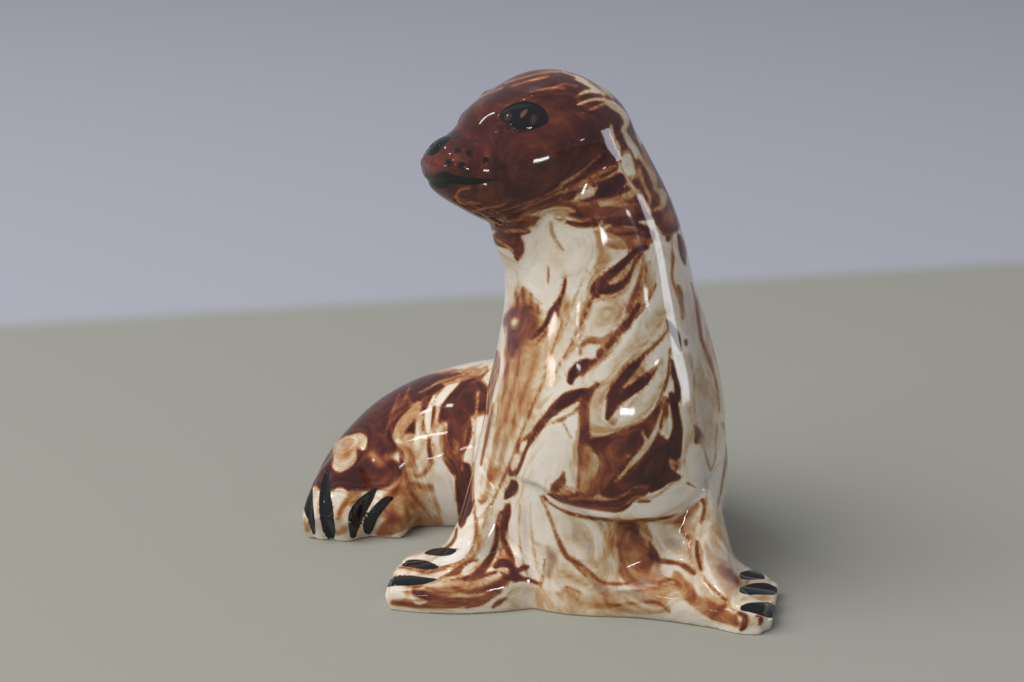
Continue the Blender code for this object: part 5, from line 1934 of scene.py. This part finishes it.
@dataclass(frozen=True)
class Lamp:
    """A rectangular lamp that points at the figurine."""

    name: str
    purpose: Purpose
    place: tuple[float, float, float]  # in metres
    size: tuple[float, float]
    glow: float  # its brightness, 1 being white
    colour: str = "#FFFFFF"
    aim: tuple[float, float, float] = (-0.01, -0.02, 0.08)

    def add(self) -> None:
        """Adds the lamp."""
        data = bpy.data.lights.new(self.name, "AREA")
        data.shape = "RECTANGLE"
        data.size, data.size_y = self.size
        data.energy = self.glow * math.pi * data.size * data.size_y
        data.color = linear(self.colour)[:3]
        lamp = bpy.data.objects.new(self.name, data)
        lamp.visible_glossy = self.purpose is Purpose.SHINE
        lamp.visible_diffuse = self.purpose is Purpose.LIGHT
        lamp.visible_camera = False
        aim = Vector(self.aim) - Vector(self.place)
        turn = aim.to_track_quat("-Z", "Y").to_matrix().to_4x4()
        lamp.matrix_world = Matrix.Translation(self.place) @ turn
        bpy.context.scene.collection.objects.link(lamp)


@dataclass
class Studio:
    """A pale floor in two matt greys, one for the table and one beyond its far edge, with soft lamps."""

    view: FrontView
    table: str = "#A9A89E"
    beyond: str = "#B8B9C4"
    # Two pixels on the table's far edge, how softly it ends and how far the floor reaches, in metres
    edge: tuple[tuple[float, float], tuple[float, float]] = ((0.0, 325.0), (1024.0, 262.0))
    blur: float = 0.03
    reach: float = 4.0
    gap: float = 0.2 * MM  # between the floor and the base
    room: tuple[str, float] = ("#DADCE2", 0.45)
    lamps: tuple[Lamp, ...] = (
        Lamp("softbox", Purpose.LIGHT, (-1.3, -1.05, 1.95), (2.4, 2.0), 3.9),
        Lamp("side_window", Purpose.SHINE, (1.1, 0.13, 0.21), (0.24, 0.4), 6.0, "#E9F0FA"),
        Lamp("far_window", Purpose.SHINE, (-0.96, -0.75, 0.19), (0.26, 0.05), 11.0, "#FFE9E6"),
        Lamp("ceiling_lamp", Purpose.SHINE, (-0.59, -0.83, 0.85), (0.1, 0.07), 14.0),
        Lamp("low_lamp", Purpose.SHINE, (0.47, -0.78, 0.05), (0.22, 0.05), 22.0),
        Lamp("right_lamp", Purpose.SHINE, (1.11, -0.46, 0.29), (0.1, 0.035), 14.0),
        Lamp("front_lamp", Purpose.SHINE, (-0.37, -1.18, 0.31), (0.1, 0.03), 18.0),
        Lamp("top_lamp", Purpose.SHINE, (-0.66, -0.12, 1.07), (0.09, 0.09), 16.0),
    )

    def floor_paint(self) -> bpy.types.Material:
        """Matt paint: the greenish grey of the table, then the cooler grey beyond it."""
        left, right = (self.view.on_floor(*pixel) for pixel in self.edge)
        away = Vector((left.y - right.y, right.x - left.x, 0)).normalized()
        start = away.dot(left)
        material = bpy.data.materials.new("matt_grey_paint")
        material.use_nodes = True
        tree = material.node_tree
        place = add_node(tree, "ShaderNodeTexCoord").outputs["Object"]
        reach = add_node(
            tree, "ShaderNodeVectorMath", {0: place, 1: tuple(away)}, operation="DOT_PRODUCT"
        ).outputs["Value"]
        share = add_node(
            tree,
            "ShaderNodeMapRange",
            {"Value": reach, "From Min": start - self.blur / 2, "From Max": start + self.blur / 2},
            interpolation_type="SMOOTHSTEP",
        ).outputs["Result"]
        mix = add_node(
            tree,
            "ShaderNodeMix",
            {0: share, 6: linear(self.table), 7: linear(self.beyond)},
            data_type="RGBA",
        )
        shader = tree.nodes["Principled BSDF"]
        shader.inputs["Roughness"].default_value = 0.9
        shader.inputs["Specular IOR Level"].default_value = 0.0
        tree.links.new(mix.outputs[2], shader.inputs["Base Color"])
        return material

    def build(self) -> None:
        """Adds the floor, the lamps and the world."""
        mesh = bpy.data.meshes.new("floor")
        sides = ((-1, -1), (1, -1), (1, 1), (-1, 1))
        corners = [(x * self.reach, y * self.reach, -self.gap) for x, y in sides]
        mesh.from_pydata(corners, [], [(0, 1, 2, 3)])
        mesh.materials.append(self.floor_paint())
        floor = bpy.data.objects.new("floor", mesh)
        bpy.context.scene.collection.objects.link(floor)
        for lamp in self.lamps:
            lamp.add()
        world = bpy.data.worlds.new("room")
        world.use_nodes = True
        back = world.node_tree.nodes["Background"]
        back.inputs["Color"].default_value = linear(self.room[0])
        back.inputs["Strength"].default_value = self.room[1]
        bpy.context.scene.world = world


def main() -> None:
    """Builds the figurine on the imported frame."""
    logging.basicConfig(level=logging.INFO, format="%(name)s: %(message)s")
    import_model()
    bpy.context.scene.view_settings.view_transform = "Standard"
    view = FrontView()
    view.add_camera()
    casting = Casting()
    seal = casting.build()
    marbling = Marbling(seal, casting.head, view)
    marbling.dress()
    seal.data.materials.clear()
    seal.data.materials.append(MarbledGlaze().make())
    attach(seal, "root")
    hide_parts("seal_body")
    LOG.info("%s: %d triangles", seal.name, sum(len(face.vertices) - 2 for face in seal.data.polygons))
    dots = WhiskerDots().build(marbling, BlackStain().make())
    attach(dots, "root")
    LOG.info("%s: %d points", dots.name, len(dots.data.vertices))
    Studio(view).build()


if __name__ == "__main__":
    main()
